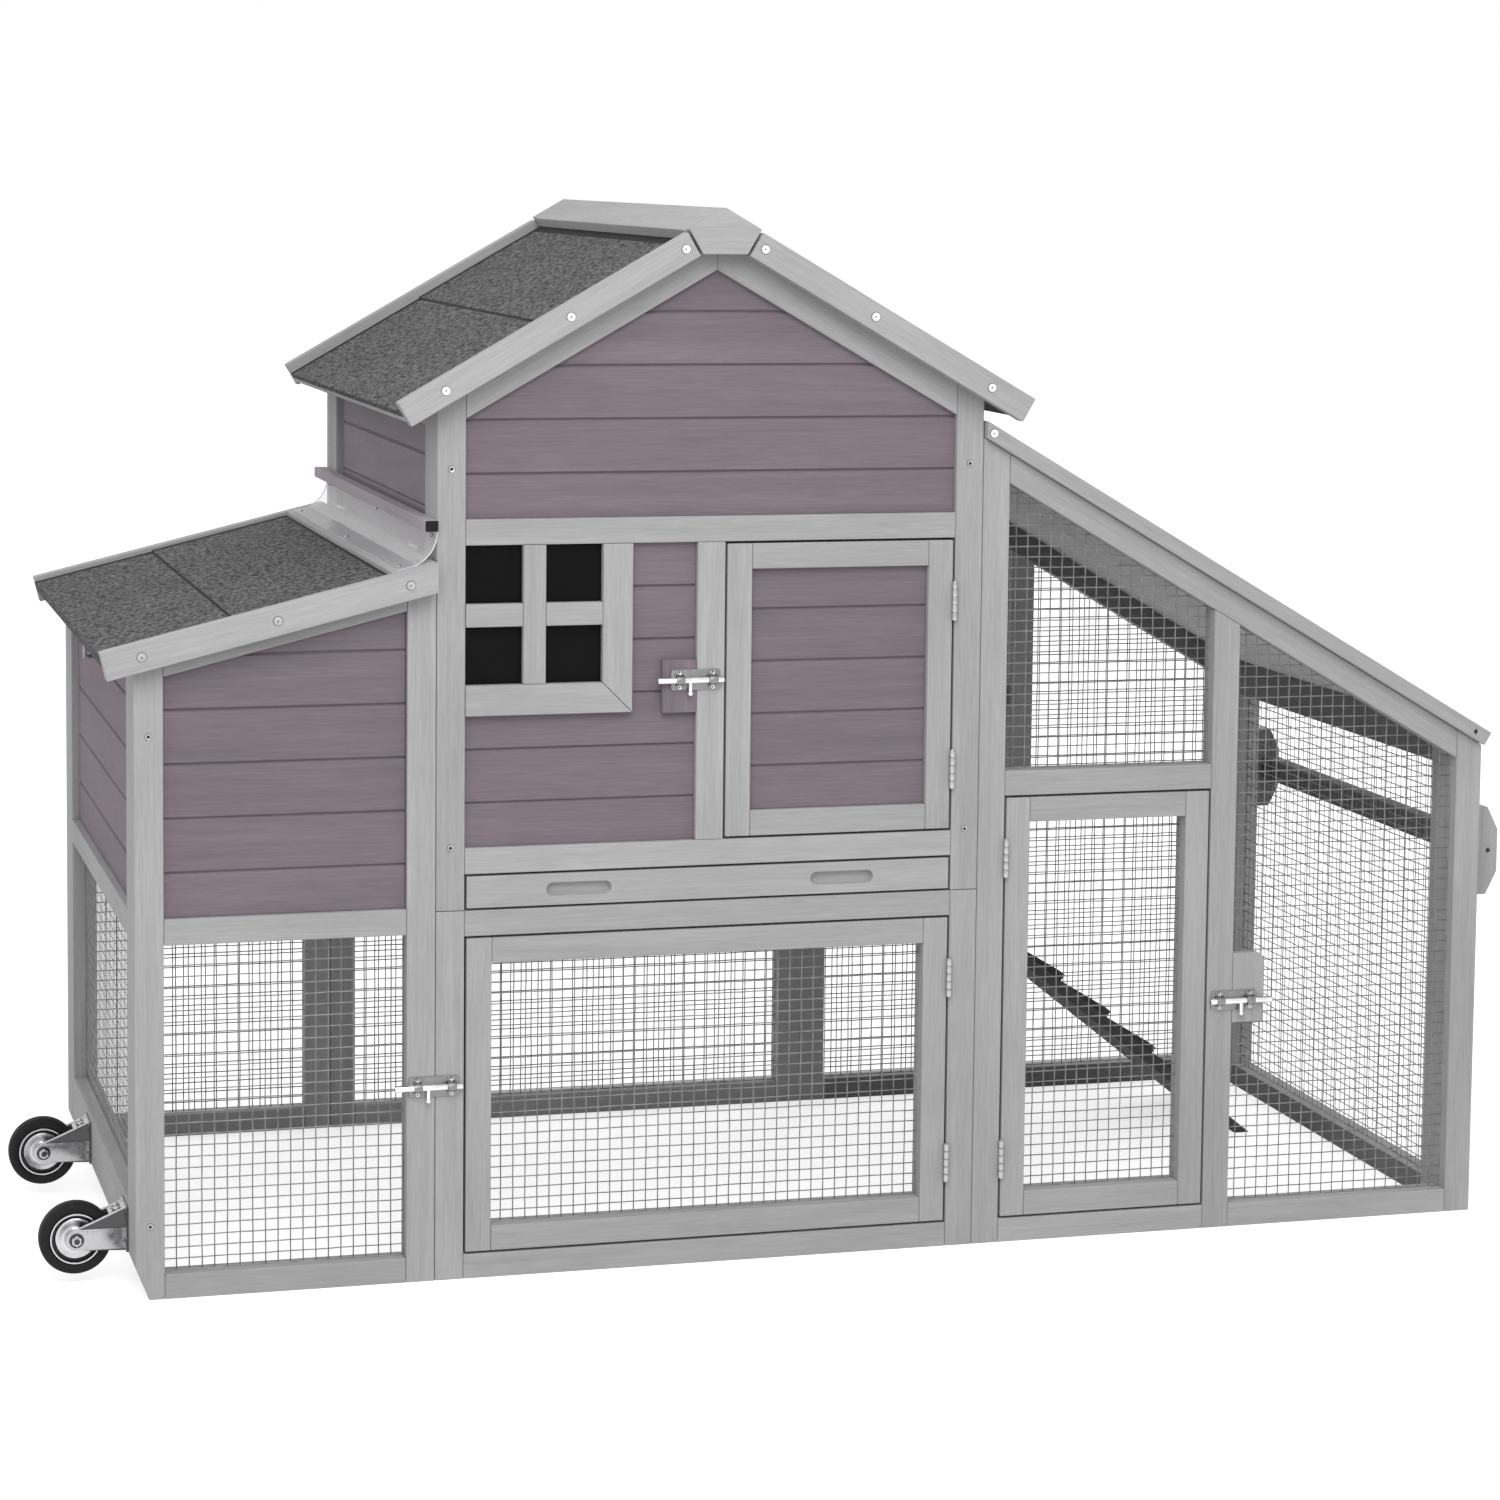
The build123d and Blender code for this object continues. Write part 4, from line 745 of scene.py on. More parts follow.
def add_plate(bm, low, high, edge, corner=0.0, thin=1):
    """Adds a box with its corners rounded across the thin axis and its edges softened."""
    plate = bmesh.new()
    low, high = Vector(low), Vector(high)
    size = high - low
    add_block(plate, (low + high) / 2, size)
    if corner:
        across = [e for e in plate.edges if abs((e.verts[1].co - e.verts[0].co)[thin]) > size[thin] / 2]
        round_edges(plate, across, corner, CORNER_SEGMENTS)
    soften(plate, edge, FACET_CREASE)
    add_bmesh(bm, plate)


def add_turned(bm, profile, centre):
    """Adds a turned shape on an axis along Y from a closed loop of radii and places on the axis."""
    turned = bmesh.new()
    verts = [turned.verts.new((radius, place, 0.0)) for radius, place in profile]
    edges = [turned.edges.new((a, b)) for a, b in zip(verts, verts[1:] + verts[:1])]
    bmesh.ops.spin(turned, geom=verts + edges, cent=(0.0, 0.0, 0.0), axis=ALONG_Y, angle=math.tau,
                   steps=TURN_STEPS, use_merge=True)
    bmesh.ops.remove_doubles(turned, verts=turned.verts, dist=WELD)
    bmesh.ops.recalc_face_normals(turned, faces=turned.faces)
    bmesh.ops.translate(turned, verts=turned.verts, vec=centre)
    add_bmesh(bm, turned)


def add_screw(bm, place, way, radius, rim=SCREW_RIM):
    """Adds a countersunk screw head; its recess and flank take the second material, painted shade in the
    recess and a painted dark outline on the flank.
    """
    head = bmesh.new()
    bmesh.ops.create_cone(head, cap_ends=True, segments=16, radius1=radius, radius2=radius * SCREW_TAPER,
                          depth=SCREW_HEIGHT)
    for face in head.faces:
        face.material_index = int(abs(face.normal.z) < FACING)
    top = max(head.faces, key=lambda face: face.calc_center_median().z)
    bmesh.ops.inset_region(head, faces=[top], thickness=radius * rim, depth=-RECESS_DEPTH)
    top.material_index = 1
    middle = Vector(place) + Vector(way) * SCREW_RAISE
    bmesh.ops.transform(head, matrix=way_matrix(middle, way), verts=head.verts)
    add_bmesh(bm, head)


# Roof felt
FELT_NODES = ("roof_felts", "nest_lid_felt")
LAP_PLACE = 0.54                 # share of the slope that the upper course covers
FELT_RISE = 0.3                  # the felt's upper face looks further up than this
FELT_FRONT = 0.6                 # faces that turn further from the upper one are bitumen
FOLD_THICKNESS = 0.0004
FOLD_CLEAR = 0.0002              # gap between the boards' ends and the felt folded over them
FOLDS = {"roof_felts": 0.006, "nest_lid_felt": 0.0105}  # how far the felt turns down over the eaves


def add_fold(bm, slope, normal, fall, depth):
    """Adds the strip of felt that turns down over the boards' ends at the eaves."""
    down = (fall - normal * fall.dot(normal)).normalized()
    low, high = box_of(slope.verts)
    eave = max(v.co.dot(down) for v in slope.verts) + FOLD_CLEAR + FOLD_THICKNESS / 2
    top = max(v.co.dot(normal) for v in slope.verts) - sizes().felt_lap
    middle = down * eave + normal * (top - depth / 2) + ALONG_Y * (low.y + high.y) / 2
    turn = axes_matrix(down, ALONG_Y, down.cross(ALONG_Y))
    add_block(bm, middle, (FOLD_THICKNESS, high.y - low.y, depth), turn)


def seal_and_shade_edges(slope, normal, fall, line, low, high):
    """Gives the second finish, bitumen and painted shade, to a course above a line across it, along its
    verges and at its sides.
    """
    verges = (low.y + sizes().verge_seal_and_shade, high.y - sizes().verge_seal_and_shade)
    for y in verges:
        cut(slope, (0.0, y, 0.0), ALONG_Y)
    cut(slope, line, fall)
    for face in slope.faces:
        middle = face.calc_center_median()
        above_line = (middle - line).dot(fall) < 0.0
        on_verge = not verges[0] < middle.y < verges[1]
        face.material_index = int(above_line or on_verge or face.normal.dot(normal) < FELT_FRONT)


def add_course(bm, node, index, upper):
    """Adds the upper or lower course of one slope's felt; the lower one is thinner, so it steps down."""
    slope = solid_mesh(node, index)
    top = max((f for f in slope.faces if f.normal.z > FELT_RISE), key=lambda f: f.calc_area())
    normal = top.normal.copy()
    fall = Vector((normal.x, 0.0, 0.0)).normalized()
    low, high = box_of(slope.verts)
    start, end = (low.x, high.x) if fall.x > 0 else (high.x, low.x)
    seam = Vector((start + (end - start) * LAP_PLACE, 0.0, 0.0))
    if not upper:
        add_fold(bm, slope, normal, fall, FOLDS[node])
    ridge_low, ridge_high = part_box("ridge_cap")
    if ridge_low.x < start < ridge_high.x:
        start = ridge_low.x if fall.x < 0 else ridge_high.x
    head = Vector((start, 0.0, 0.0)) + fall * sizes().head_seal_and_shade
    cut(slope, seam, fall if upper else -fall, drop=True)
    bmesh.ops.holes_fill(slope, edges=[e for e in slope.edges if e.is_boundary], sides=0)
    if not upper:
        tops = {v for f in slope.faces if f.normal.dot(normal) > FACING for v in f.verts}
        bmesh.ops.translate(slope, verts=list(tops), vec=-normal * sizes().felt_lap)
    soften(slope, sizes().board_edge, SOLID_CREASE)
    # a strip under the ridge cap and one below the lap step take bitumen and painted shade
    lap = seam + fall * sizes().lap_seal_and_shade
    seal_and_shade_edges(slope, normal, fall, head if upper else lap, low, high)
    add_bmesh(bm, slope)


class COOP_OT_roof_felt(bpy.types.Operator):
    """Mineral felt on the roofs, in two lapped courses on each slope"""
    bl_idname = "coop.roof_felt"
    bl_label = "Roof felt"

    def execute(self, context):
        for node in FELT_NODES:
            bm = bmesh.new()
            for index in range(len(solids_of(node))):
                add_course(bm, node, index, True)
                add_course(bm, node, index, False)
            # the felt's second finish is bitumen and painted shade
            piece = finished_piece(bm, node + "_courses", node, finishes=(SLOT_OF[node], "bitumen_and_shade"))
            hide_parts(node)
        return {"FINISHED"}


# Flashing
FLANGE = 0.012
STRIP_THICKNESS = 0.0012
BEND_STEPS = 14
NAIL_RADIUS = 0.0028
NAIL_TAPER = 0.55                # a nail head's top beside its foot
NAIL_HEIGHT = 0.0014
NAIL_PLACES = (0.035, 0.5, 0.965)  # shares of the strip's length
WALL_NAIL_DROP = 0.006           # distance of the wall's nails from the strip's upper edge


def add_nail(bm, place, way):
    """Adds a low domed nail head."""
    head = bmesh.new()
    bmesh.ops.create_cone(head, cap_ends=True, segments=12, radius1=NAIL_RADIUS,
                          radius2=NAIL_RADIUS * NAIL_TAPER, depth=NAIL_HEIGHT)
    middle = Vector(place) + Vector(way) * (NAIL_HEIGHT / 2)
    bmesh.ops.transform(head, matrix=way_matrix(middle, way), verts=head.verts)
    add_bmesh(bm, head)


def bent_strip(low, high):
    """The strip's bmesh, the direction of its flange and the middle of the flange's free edge."""
    bm = bmesh.new()
    height = high.z - low.z
    bend = 2.0 * math.atan((high.x - low.x) / height)
    middle = Vector((high.x - height / math.sin(bend), 0.0, high.z))
    ends = [bm.verts.new((high.x, y, high.z)) for y in (low.y, high.y)]
    edge = bm.edges.new(ends)
    spun = bmesh.ops.spin(bm, geom=ends + [edge], cent=middle, axis=ALONG_Y, angle=bend, steps=BEND_STEPS)
    lie = Vector((-math.sin(bend), 0.0, -math.cos(bend)))
    flange = bmesh.ops.extrude_edge_only(bm, edges=only(BMEdge, spun["geom_last"]))["geom"]
    free_edge = only(BMVert, flange)
    bmesh.ops.translate(bm, verts=free_edge, vec=lie * FLANGE)
    foot = sum((v.co for v in free_edge), Vector()) / len(free_edge)
    bmesh.ops.remove_doubles(bm, verts=bm.verts, dist=WELD)
    bmesh.ops.recalc_face_normals(bm, faces=bm.faces)
    bmesh.ops.solidify(bm, geom=bm.faces[:], thickness=STRIP_THICKNESS)
    # the strip's thin cut faces take the second finish, a painted highlight
    for face in bm.faces:
        face.material_index = int(min(e.calc_length() for e in face.edges) < 2 * STRIP_THICKNESS)
    return bm, lie, foot


class COOP_OT_flashing(bpy.types.Operator):
    """Clear strip over the lid's hinge line, nailed along both edges"""
    bl_idname = "coop.flashing"
    bl_label = "Flashing"

    def execute(self, context):
        low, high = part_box("flashing")
        bm, lie, foot = bent_strip(low, high)
        strip = finished_piece(bm, "flashing_strip", "flashing", smooth=METAL_SMOOTH, rides=False,
                               finishes=("clear_strip", "clear_edge"))
        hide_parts("flashing")
        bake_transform(strip)

        wall_nails = bmesh.new()
        lid_nails = bmesh.new()
        at = foot - lie * FLANGE / 2
        out = Vector((lie.z, 0.0, -lie.x))
        for share in NAIL_PLACES:
            y = low.y + (high.y - low.y) * share
            add_nail(wall_nails, (high.x - STRIP_THICKNESS, y, high.z - WALL_NAIL_DROP), -ALONG_X)
            add_nail(lid_nails, (at.x, y, at.z), out if out.z > 0 else -out)
        finished_piece(wall_nails, "flashing_wall_nails", "flashing_batten", "zinc")
        finished_piece(lid_nails, "flashing_lid_nails", "nest_lid_trim", "zinc")
        return {"FINISHED"}


# Panes and tray
SHEET_EDGE = 0.0003


class COOP_OT_sheets(bpy.types.Operator):
    """Dark window pane and the folded tray"""
    bl_idname = "coop.sheets"
    bl_label = "Pane and tray"

    def execute(self, context):
        for node in ("window_pane", "tray_pan"):
            bm = node_mesh(node)
            soften(bm, SHEET_EDGE)
            piece = finished_piece(bm, node + "_sheet", node)
            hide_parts(node)
        return {"FINISHED"}


# Hinges
DOOR_LEAVES = ("upper_door_leaves", "lower_door_leaves", "run_door_leaves", "lid_hardware")
KNUCKLES = 5
KNUCKLE_RADIUS = 0.0032
KNUCKLE_GAP = 0.0004
KNUCKLE_EDGE = 0.0005
PIN_RADIUS = KNUCKLE_RADIUS * 0.5
PIN_PROUD = 0.0006
PIN_EDGE = 0.0004
LEAF_EDGE = 0.0002
LEAF_REACH = 0.03                # a leaf's middle lies nearer than this to its pin's middle
LUG_SOLID = 2                    # the hook's lugs come after the two leaves in their node
LUG_EDGE = 0.0005


def hinge_pins():
    """Start and end of each hinge's pin."""
    pins = []
    for low, high in solids_of("hinge_leaves"):
        x = (low.x + high.x) / 2
        if high.z - low.z > high.y - low.y:
            y = low.y + KNUCKLE_RADIUS
            pins.append((Vector((x, y, low.z)), Vector((x, y, high.z))))
        else:
            z = high.z - KNUCKLE_RADIUS
            pins.append((Vector((x, low.y, z)), Vector((x, high.y, z))))
    return pins


def add_knuckles(bm, start, end, which):
    """Adds every other knuckle of a hinge barrel."""
    step = (end - start) / KNUCKLES
    gap = step.normalized() * KNUCKLE_GAP / 2
    for number in range(which, KNUCKLES, 2):
        foot, head = start + step * number + gap, start + step * (number + 1) - gap
        add_rod(bm, foot, head, KNUCKLE_RADIUS, segments=16, tip=KNUCKLE_EDGE)


def add_leaves(fixed, moving, low, high, start, end):
    """Adds a moving leaf with its knuckles and the fixed leaf on the other side of the pin."""
    add_plate(moving, low, high, LEAF_EDGE)
    add_knuckles(moving, start, end, 1)
    left, right = sorted((2 * start.x - low.x, 2 * start.x - high.x))
    add_plate(fixed, (left, low.y, low.z), (right, high.y, high.z), LEAF_EDGE)


class COOP_OT_hinges(bpy.types.Operator):
    """Butt hinges with interleaved knuckles on their pins"""
    bl_idname = "coop.hinges"
    bl_label = "Hinges"

    def execute(self, context):
        pins = hinge_pins()
        fixed = bmesh.new()
        for start, end in pins:
            add_knuckles(fixed, start, end, 0)
            proud = (end - start).normalized() * PIN_PROUD
            add_rod(fixed, start - proud, end + proud, PIN_RADIUS, segments=12, tip=PIN_EDGE)
        for node in DOOR_LEAVES:
            moving = bmesh.new()
            for low, high in solids_of(node):
                middle = (low + high) / 2
                start, end = min(pins, key=lambda pin: ((pin[0] + pin[1]) / 2 - middle).length)
                if ((start + end) / 2 - middle).length < LEAF_REACH:
                    add_leaves(fixed, moving, low, high, start, end)
            if node == "lid_hardware":
                lugs = solid_mesh(node, LUG_SOLID)
                soften(lugs, LUG_EDGE, SOLID_CREASE)
                add_bmesh(moving, lugs)
            piece = finished_piece(moving, node + "_metal", node, "zinc", smooth=METAL_SMOOTH)
            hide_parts(node)
        piece = finished_piece(fixed, "hinge_barrels", "hinge_leaves", smooth=METAL_SMOOTH)
        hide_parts("hinge_leaves")
        return {"FINISHED"}


# Bolts
BOLT_NODES = ("upper_bolt", "lower_bolt", "run_bolt")
ROD_RADIUS = 0.0035
ROD_TIP = 0.001
KNOB_RADIUS = 0.003
NECK_RADIUS = 0.0021             # stem between a rod and its knob
PLATE_THICKNESS = 0.0015
PLATE_EDGE = 0.0003
PLATE_CORNER = 0.003
STRAP_INSET = 0.0045
STRAP_WIDTH = 0.009
STRAP_INSIDE = 0.0038
STRAP_OUTSIDE = 0.0054
STRAP_STEPS = 10
EAR = 0.0048
EAR_THICKNESS = 0.001
EAR_CORNER = 0.002
EAR_SCREW = EAR * 0.48           # radius of the screw in an ear
HOOK_EDGE = 0.0006               # rounding of the lid's hook and catch
CATCH_CORNER = 0.002


def pull_faces(bm, faces, way):
    """Extrudes faces along a way and gives the new ones."""
    pulled = bmesh.ops.extrude_face_region(bm, geom=faces)["geom"]
    bmesh.ops.translate(bm, verts=only(BMVert, pulled), vec=way)
    return only(BMFace, pulled)


def add_strap(bm, start, end, y, z, foot):
    """Adds a strap bent over a rod along X, from one leg's foot over the rod to the other's."""
    strap = bmesh.new()
    middle = Vector(((start + end) / 2, foot, z + (STRAP_INSIDE + STRAP_OUTSIDE) / 2))
    turn = Matrix.Rotation(math.pi / 2, 4, "X")
    stretch = Matrix.Diagonal((end - start, STRAP_OUTSIDE - STRAP_INSIDE, 1.0, 1.0))
    bmesh.ops.create_grid(strap, x_segments=1, y_segments=1, size=0.5,
                          matrix=Matrix.Translation(middle) @ turn @ stretch)
    leg = pull_faces(strap, strap.faces[:], (0.0, y - foot, 0.0))
    bend = bmesh.ops.spin(strap, geom=leg, cent=(0.0, y, z), axis=ALONG_X, angle=math.pi,
                          steps=STRAP_STEPS)["geom_last"]
    pull_faces(strap, only(BMFace, bend), (0.0, foot - y, 0.0))
    bmesh.ops.remove_doubles(strap, verts=strap.verts, dist=WELD)
    bmesh.ops.recalc_face_normals(strap, faces=strap.faces)
    soften(strap, PLATE_EDGE, FACET_CREASE)
    add_bmesh(bm, strap)


def add_bolt_plate(bm, screws, low, high, y, z):
    """Adds a bolt's plate with two straps and their ears; the ears' screws go to their own bmesh."""
    face = high.y - PLATE_THICKNESS
    front = face - EAR_THICKNESS
    add_plate(bm, (low.x, face, low.z), high, PLATE_EDGE, PLATE_CORNER)
    for start in (low.x + STRAP_INSET, high.x - STRAP_INSET - STRAP_WIDTH):
        end = start + STRAP_WIDTH
        add_strap(bm, start, end, y, z, face)
        for side in SIDES:
            bottom, top = sorted((z + side * STRAP_INSIDE, z + side * (STRAP_OUTSIDE + EAR)))
            add_plate(bm, (start, front, bottom), (end, face, top), PLATE_EDGE, EAR_CORNER)
            screw_z = z + side * (STRAP_OUTSIDE + EAR / 2)
            add_screw(screws, ((start + end) / 2, front, screw_z), -ALONG_Y, EAR_SCREW)


def knob_place(node, bottom):
    """Place on X of a bolt's lowest points, which are its knob's."""
    bolt = node_mesh(node)
    tips = [v.co.x for v in bolt.verts if v.co.z < bottom + WELD]
    bolt.free()
    return sum(tips) / len(tips)


def bolt_rod(low, high, y, z, knob_x):
    """A bolt's rod with its knob."""
    rod = bmesh.new()
    knob = Vector((knob_x, y, low.z + KNOB_RADIUS))
    add_rod(rod, (low.x, y, z), (high.x, y, z), ROD_RADIUS, segments=20, tip=ROD_TIP)
    add_rod(rod, (knob_x, y, z), knob, NECK_RADIUS)
    bmesh.ops.create_uvsphere(rod, u_segments=14, v_segments=9, radius=KNOB_RADIUS,
                              matrix=Matrix.Translation(knob))
    return rod


class COOP_OT_bolts(bpy.types.Operator):
    """Barrel bolts with their plates, straps and screws, and the lid's hook and catch"""
    bl_idname = "coop.bolts"
    bl_label = "Bolts and hook"

    def execute(self, context):
        plates = bmesh.new()
        screws = bmesh.new()
        boxes = solids_of("latch_plates")
        for node in BOLT_NODES:
            low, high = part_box(node)
            y, z = (low.y + high.y) / 2, high.z - ROD_RADIUS
            rod = bolt_rod(low, high, y, z, knob_place(node, low.z))
            # the rods take polish brightened as a painted highlight
            piece = finished_piece(rod, node + "_rod", node, smooth=METAL_SMOOTH, finishes=("rod_plate",))
            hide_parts(node)
            middle = Vector(((low.x + high.x) / 2, y, z))
            plate = min(boxes, key=lambda box: ((box[0] + box[1]) / 2 - middle).length)
            add_bolt_plate(plates, screws, *plate, y, z)
        catch = min(boxes, key=lambda box: box[1].x - box[0].x)
        add_plate(plates, *catch, HOOK_EDGE, CATCH_CORNER, thin=0)
        # the plates take dull plate darkened as painted shade
        piece = finished_piece(plates, "bolt_plates", "latch_plates", smooth=METAL_SMOOTH,
                               finishes=("dull_plate",))
        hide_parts("latch_plates")
        finished_piece(screws, "bolt_plate_screws", "latch_plates",
                       finishes=("screw_plate", "screw_recess"))
        hook = node_mesh("lid_hook")
        soften(hook, HOOK_EDGE, SOLID_CREASE)
        # the hook takes the same dull plate and painted shade
        piece = finished_piece(hook, "lid_hook_metal", "lid_hook", smooth=METAL_SMOOTH,
                               finishes=("dull_plate",))
        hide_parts("lid_hook")
        return {"FINISHED"}


# Casters
TYRE_HALF = ((0.038, 0.0), (0.0378, 0.006), (0.0362, 0.0098), (0.033, 0.011), (0.029, 0.0105),
             (0.0271, 0.0085))   # radii and places on the axle, from the middle to one side
RIM_HALF = ((0.0270, 0.0), (0.0270, 0.0094), (0.0265, 0.0100), (0.0254, 0.0100), (0.0249, 0.0094),
            (0.0246, 0.0050), (0.0218, 0.0050), (0.0213, 0.0076), (0.0205, 0.0082), (0.0185, 0.0078),
            (0.0150, 0.0062), (0.0122, 0.0066), (0.0105, 0.0096), (0.0070, 0.0100), (0.0043, 0.0100))
GROOVE = (0.0214, 0.0251)        # radii between which a rim lies in shade and dirt
TYRE_SMOOTH = 50.0               # degrees up to which each is shaded smooth
RIM_SMOOTH = 35.0
CASTERS = (("front_tyre", "front_rim"), ("back_tyre", "back_rim"))
# the third finish is painted shade on the cheeks
FORK_FINISHES = ("zinc", "screw_recess", "fork_shade")
CHEEK_OUT = 0.015                # outer face of a fork's cheek from the wheel's middle
FORK_SHEET = 0.0025              # thickness of a fork's plate and cheeks
FORK_EDGE = 0.0007
EYE_RADIUS = 0.011               # round end of a cheek
STRIP_PROUD = 0.0012             # how far the pressed strip stands out of a cheek
STRIP_ROUND = 0.98 * EYE_RADIUS  # rounding of the strip at the axle
STRIP_EDGE = 0.0004
RIB_RADIUS = 0.0013              # rolled upper edge of a cheek
WEB_REACH = 0.018                # length of the web that joins the cheeks over the wheel
WEB_THICKNESS = 0.0015
WEB_BOLTS = (-0.0066, 0.0066)    # places of the web's bolts across the fork
BOLT_HEAD = (0.0044, 0.0028)     # radius and height
BOLT_EDGE = 0.0007
BOLT_COLLAR = 0.0006             # height of the washer under a web's bolt
WING_SCREWS = (-0.019, 0.019)    # places of the plate's screws across the fork
WING_SCREW = (0.0034, 0.009)     # radius and distance from the plate's ends
NUT_RADIUS = 0.006
NUT_THICKNESS = 0.0042
NUT_EDGE = 0.0008
WASHER_SHARE = 1.3               # radius of a washer beside its nut or bolt
WASHER_THICKNESS = 0.0008
WASHER_EDGE = 0.0002
AXLE_RADIUS = NUT_RADIUS * 0.5
AXLE_PROUD = 0.002
AXLE_EDGE = 0.0005


def add_nut(washers, nuts, place, side):
    """Adds a hexagon nut on a washer at the end of an axle along Y."""
    way = Vector((0.0, side, 0.0))
    foot = Vector(place)
    washer, nut = foot + way * WASHER_THICKNESS, foot + way * NUT_THICKNESS
    add_rod(washers, foot, washer, NUT_RADIUS * WASHER_SHARE, segments=24, tip=WASHER_EDGE)
    add_rod(nuts, washer, nut, NUT_RADIUS, segments=6, tip=NUT_EDGE)
    add_rod(washers, nut, nut + way * AXLE_PROUD, AXLE_RADIUS, tip=AXLE_EDGE)


def add_strip(bm, axle, plate_x, y, side):
    """Adds the strip pressed out of a fork's cheek, round at the axle."""
    strip = bmesh.new()
    start = axle.x - EYE_RADIUS
    middle = ((start + plate_x) / 2, y + side * STRIP_PROUD / 2, axle.z)
    add_block(strip, middle, (plate_x - start, STRIP_PROUD, 2 * EYE_RADIUS))
    across = [e for e in strip.edges if all(v.co.x < axle.x for v in e.verts)
              and abs(e.verts[0].co.z - e.verts[1].co.z) < WELD]
    round_edges(strip, across, STRIP_ROUND, segments=8)
    soften(strip, STRIP_EDGE, FACET_CREASE)
    add_bmesh(bm, strip)


def add_web(bm, start, end, y):
    """Adds the web that joins a fork's cheeks along their upper edges, with its two bolts."""
    down = (end - start).normalized()
    across = -ALONG_Y
    normal = down.cross(across)
    middle = start + down * WEB_REACH / 2 - normal * WEB_THICKNESS / 2
    middle.y = y
    turn = axes_matrix(down, across, normal)
    add_block(bm, middle, (WEB_REACH, 2 * CHEEK_OUT, WEB_THICKNESS), turn)
    radius, height = BOLT_HEAD
    for place in WEB_BOLTS:
        foot = middle + ALONG_Y * place
        collar = foot + normal * (WEB_THICKNESS / 2 + BOLT_COLLAR)
        head = foot + normal * (WEB_THICKNESS / 2 + height)
        add_rod(bm, foot, collar, radius * WASHER_SHARE, segments=16)
        add_rod(bm, foot, head, radius, segments=6, tip=BOLT_EDGE)


def add_fork_detail(bm, low, high, axle):
    """Adds a fork's pressed strips, rolled edges, web, bolts and screws to its plate and cheeks."""
    y = (low.y + high.y) / 2
    plate_x = high.x - FORK_SHEET
    start = Vector((plate_x, y, high.z - FORK_SHEET))
    end = Vector((axle.x, y, axle.z + EYE_RADIUS))
    for side in SIDES:
        add_strip(bm, axle, plate_x, y + side * CHEEK_OUT, side)
        edge = Vector((0.0, side * CHEEK_OUT, 0.0))
        add_rod(bm, start + edge, end + edge, RIB_RADIUS, segments=10)
    add_web(bm, start, end, y)
    radius, inset = WING_SCREW
    for place in WING_SCREWS:
        for z in (low.z + inset, high.z - inset):
            add_screw(bm, (plate_x, y + place, z), -ALONG_X, radius)


def both_halves(half):
    """A profile mirrored about the wheel's middle."""
    return [(radius, -place) for radius, place in reversed(half[1:])] + list(half)


def make_wheel(tyre, rim, centre):
    """Makes a wheel's rubber tyre and its dished metal centre."""
    rubber = bmesh.new()
    add_turned(rubber, both_halves(TYRE_HALF), centre)
    piece = finished_piece(rubber, tyre + "_rubber", tyre, smooth=TYRE_SMOOTH)
    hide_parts(tyre)
    metal = bmesh.new()
    add_turned(metal, both_halves(RIM_HALF), centre)
    for face in metal.faces:
        spoke = face.calc_center_median() - centre
        face.material_index = int(GROOVE[0] < math.hypot(spoke.x, spoke.z) < GROOVE[1])
    piece = finished_piece(metal, rim + "_metal", rim, smooth=RIM_SMOOTH,
                           finishes=("rim_plate", "screw_recess"))
    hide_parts(rim)


class COOP_OT_casters(bpy.types.Operator):
    """Casters with pressed forks, rubber tyres and dished wheel centres"""
    bl_idname = "coop.casters"
    bl_label = "Casters"

    def execute(self, context):
        forks = node_mesh("caster_forks")
        soften(forks, FORK_EDGE, SOLID_CREASE)
        for face in forks.faces:
            # cheek faces that look along Y take painted shade
            face.material_index = FORK_FINISHES.index("fork_shade" if looks_along_y(face) else "zinc")
        washers = bmesh.new()
        nuts = bmesh.new()
        fork_boxes = solids_of("caster_forks")
        for tyre, rim in CASTERS:
            low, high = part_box(tyre)
            centre = (low + high) / 2
            fork = min(fork_boxes, key=lambda box: abs((box[0].y + box[1].y) / 2 - centre.y))
            add_fork_detail(forks, *fork, centre)
            make_wheel(tyre, rim, centre)
            for side in SIDES:
                face_y = centre.y + side * (CHEEK_OUT + STRIP_PROUD)
                add_nut(washers, nuts, (centre.x, face_y, centre.z), side)
        piece = finished_piece(forks, "caster_forks_metal", "caster_forks", smooth=METAL_SMOOTH,
                               finishes=FORK_FINISHES)
        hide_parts("caster_forks")
        finished_piece(washers, "caster_washers", "caster_forks", smooth=METAL_SMOOTH,
                       finishes=("nut_plate",))
        finished_piece(nuts, "caster_nuts", "caster_forks", smooth=METAL_SMOOTH)
        return {"FINISHED"}


# Screws in the timber
EDGE_SCREWS = {"barge": (0.03, 0.43, 0.86), "run": (0.012, 0.975)}  # shares of a roof edge from its top
RUN_EDGE = 0.5                   # a roof edge wider than this belongs to the run
EAVE_SHARE = 0.9                 # screws beyond this share of a roof edge are dark
LID_SCREWS = (0.085, 0.485, 0.888)
LID_EDGE = 0.25                  # a piece of the lid's trim wider than this is a sloping edge board
HOUSE_SCREWS = (0.459, 0.854)    # heights on the house's corner posts
NEST_SCREWS = (0.077, 0.585)     # heights on the nest's outer posts
POST_LENGTH = 0.4                # uprights longer than this are posts
EDGE_SCREW_RIM = 0.72            # share of a roof edge screw's head around its recess
DARK_SCREW = (0.003, 0.12)       # radius and rim of the dark screws in the handle and the run's eave


def outer_face(low, high):
    """Place on Y and direction of a stick's outer face."""
    return (low.y, -ALONG_Y) if low.y + high.y < 0.0 else (high.y, ALONG_Y)


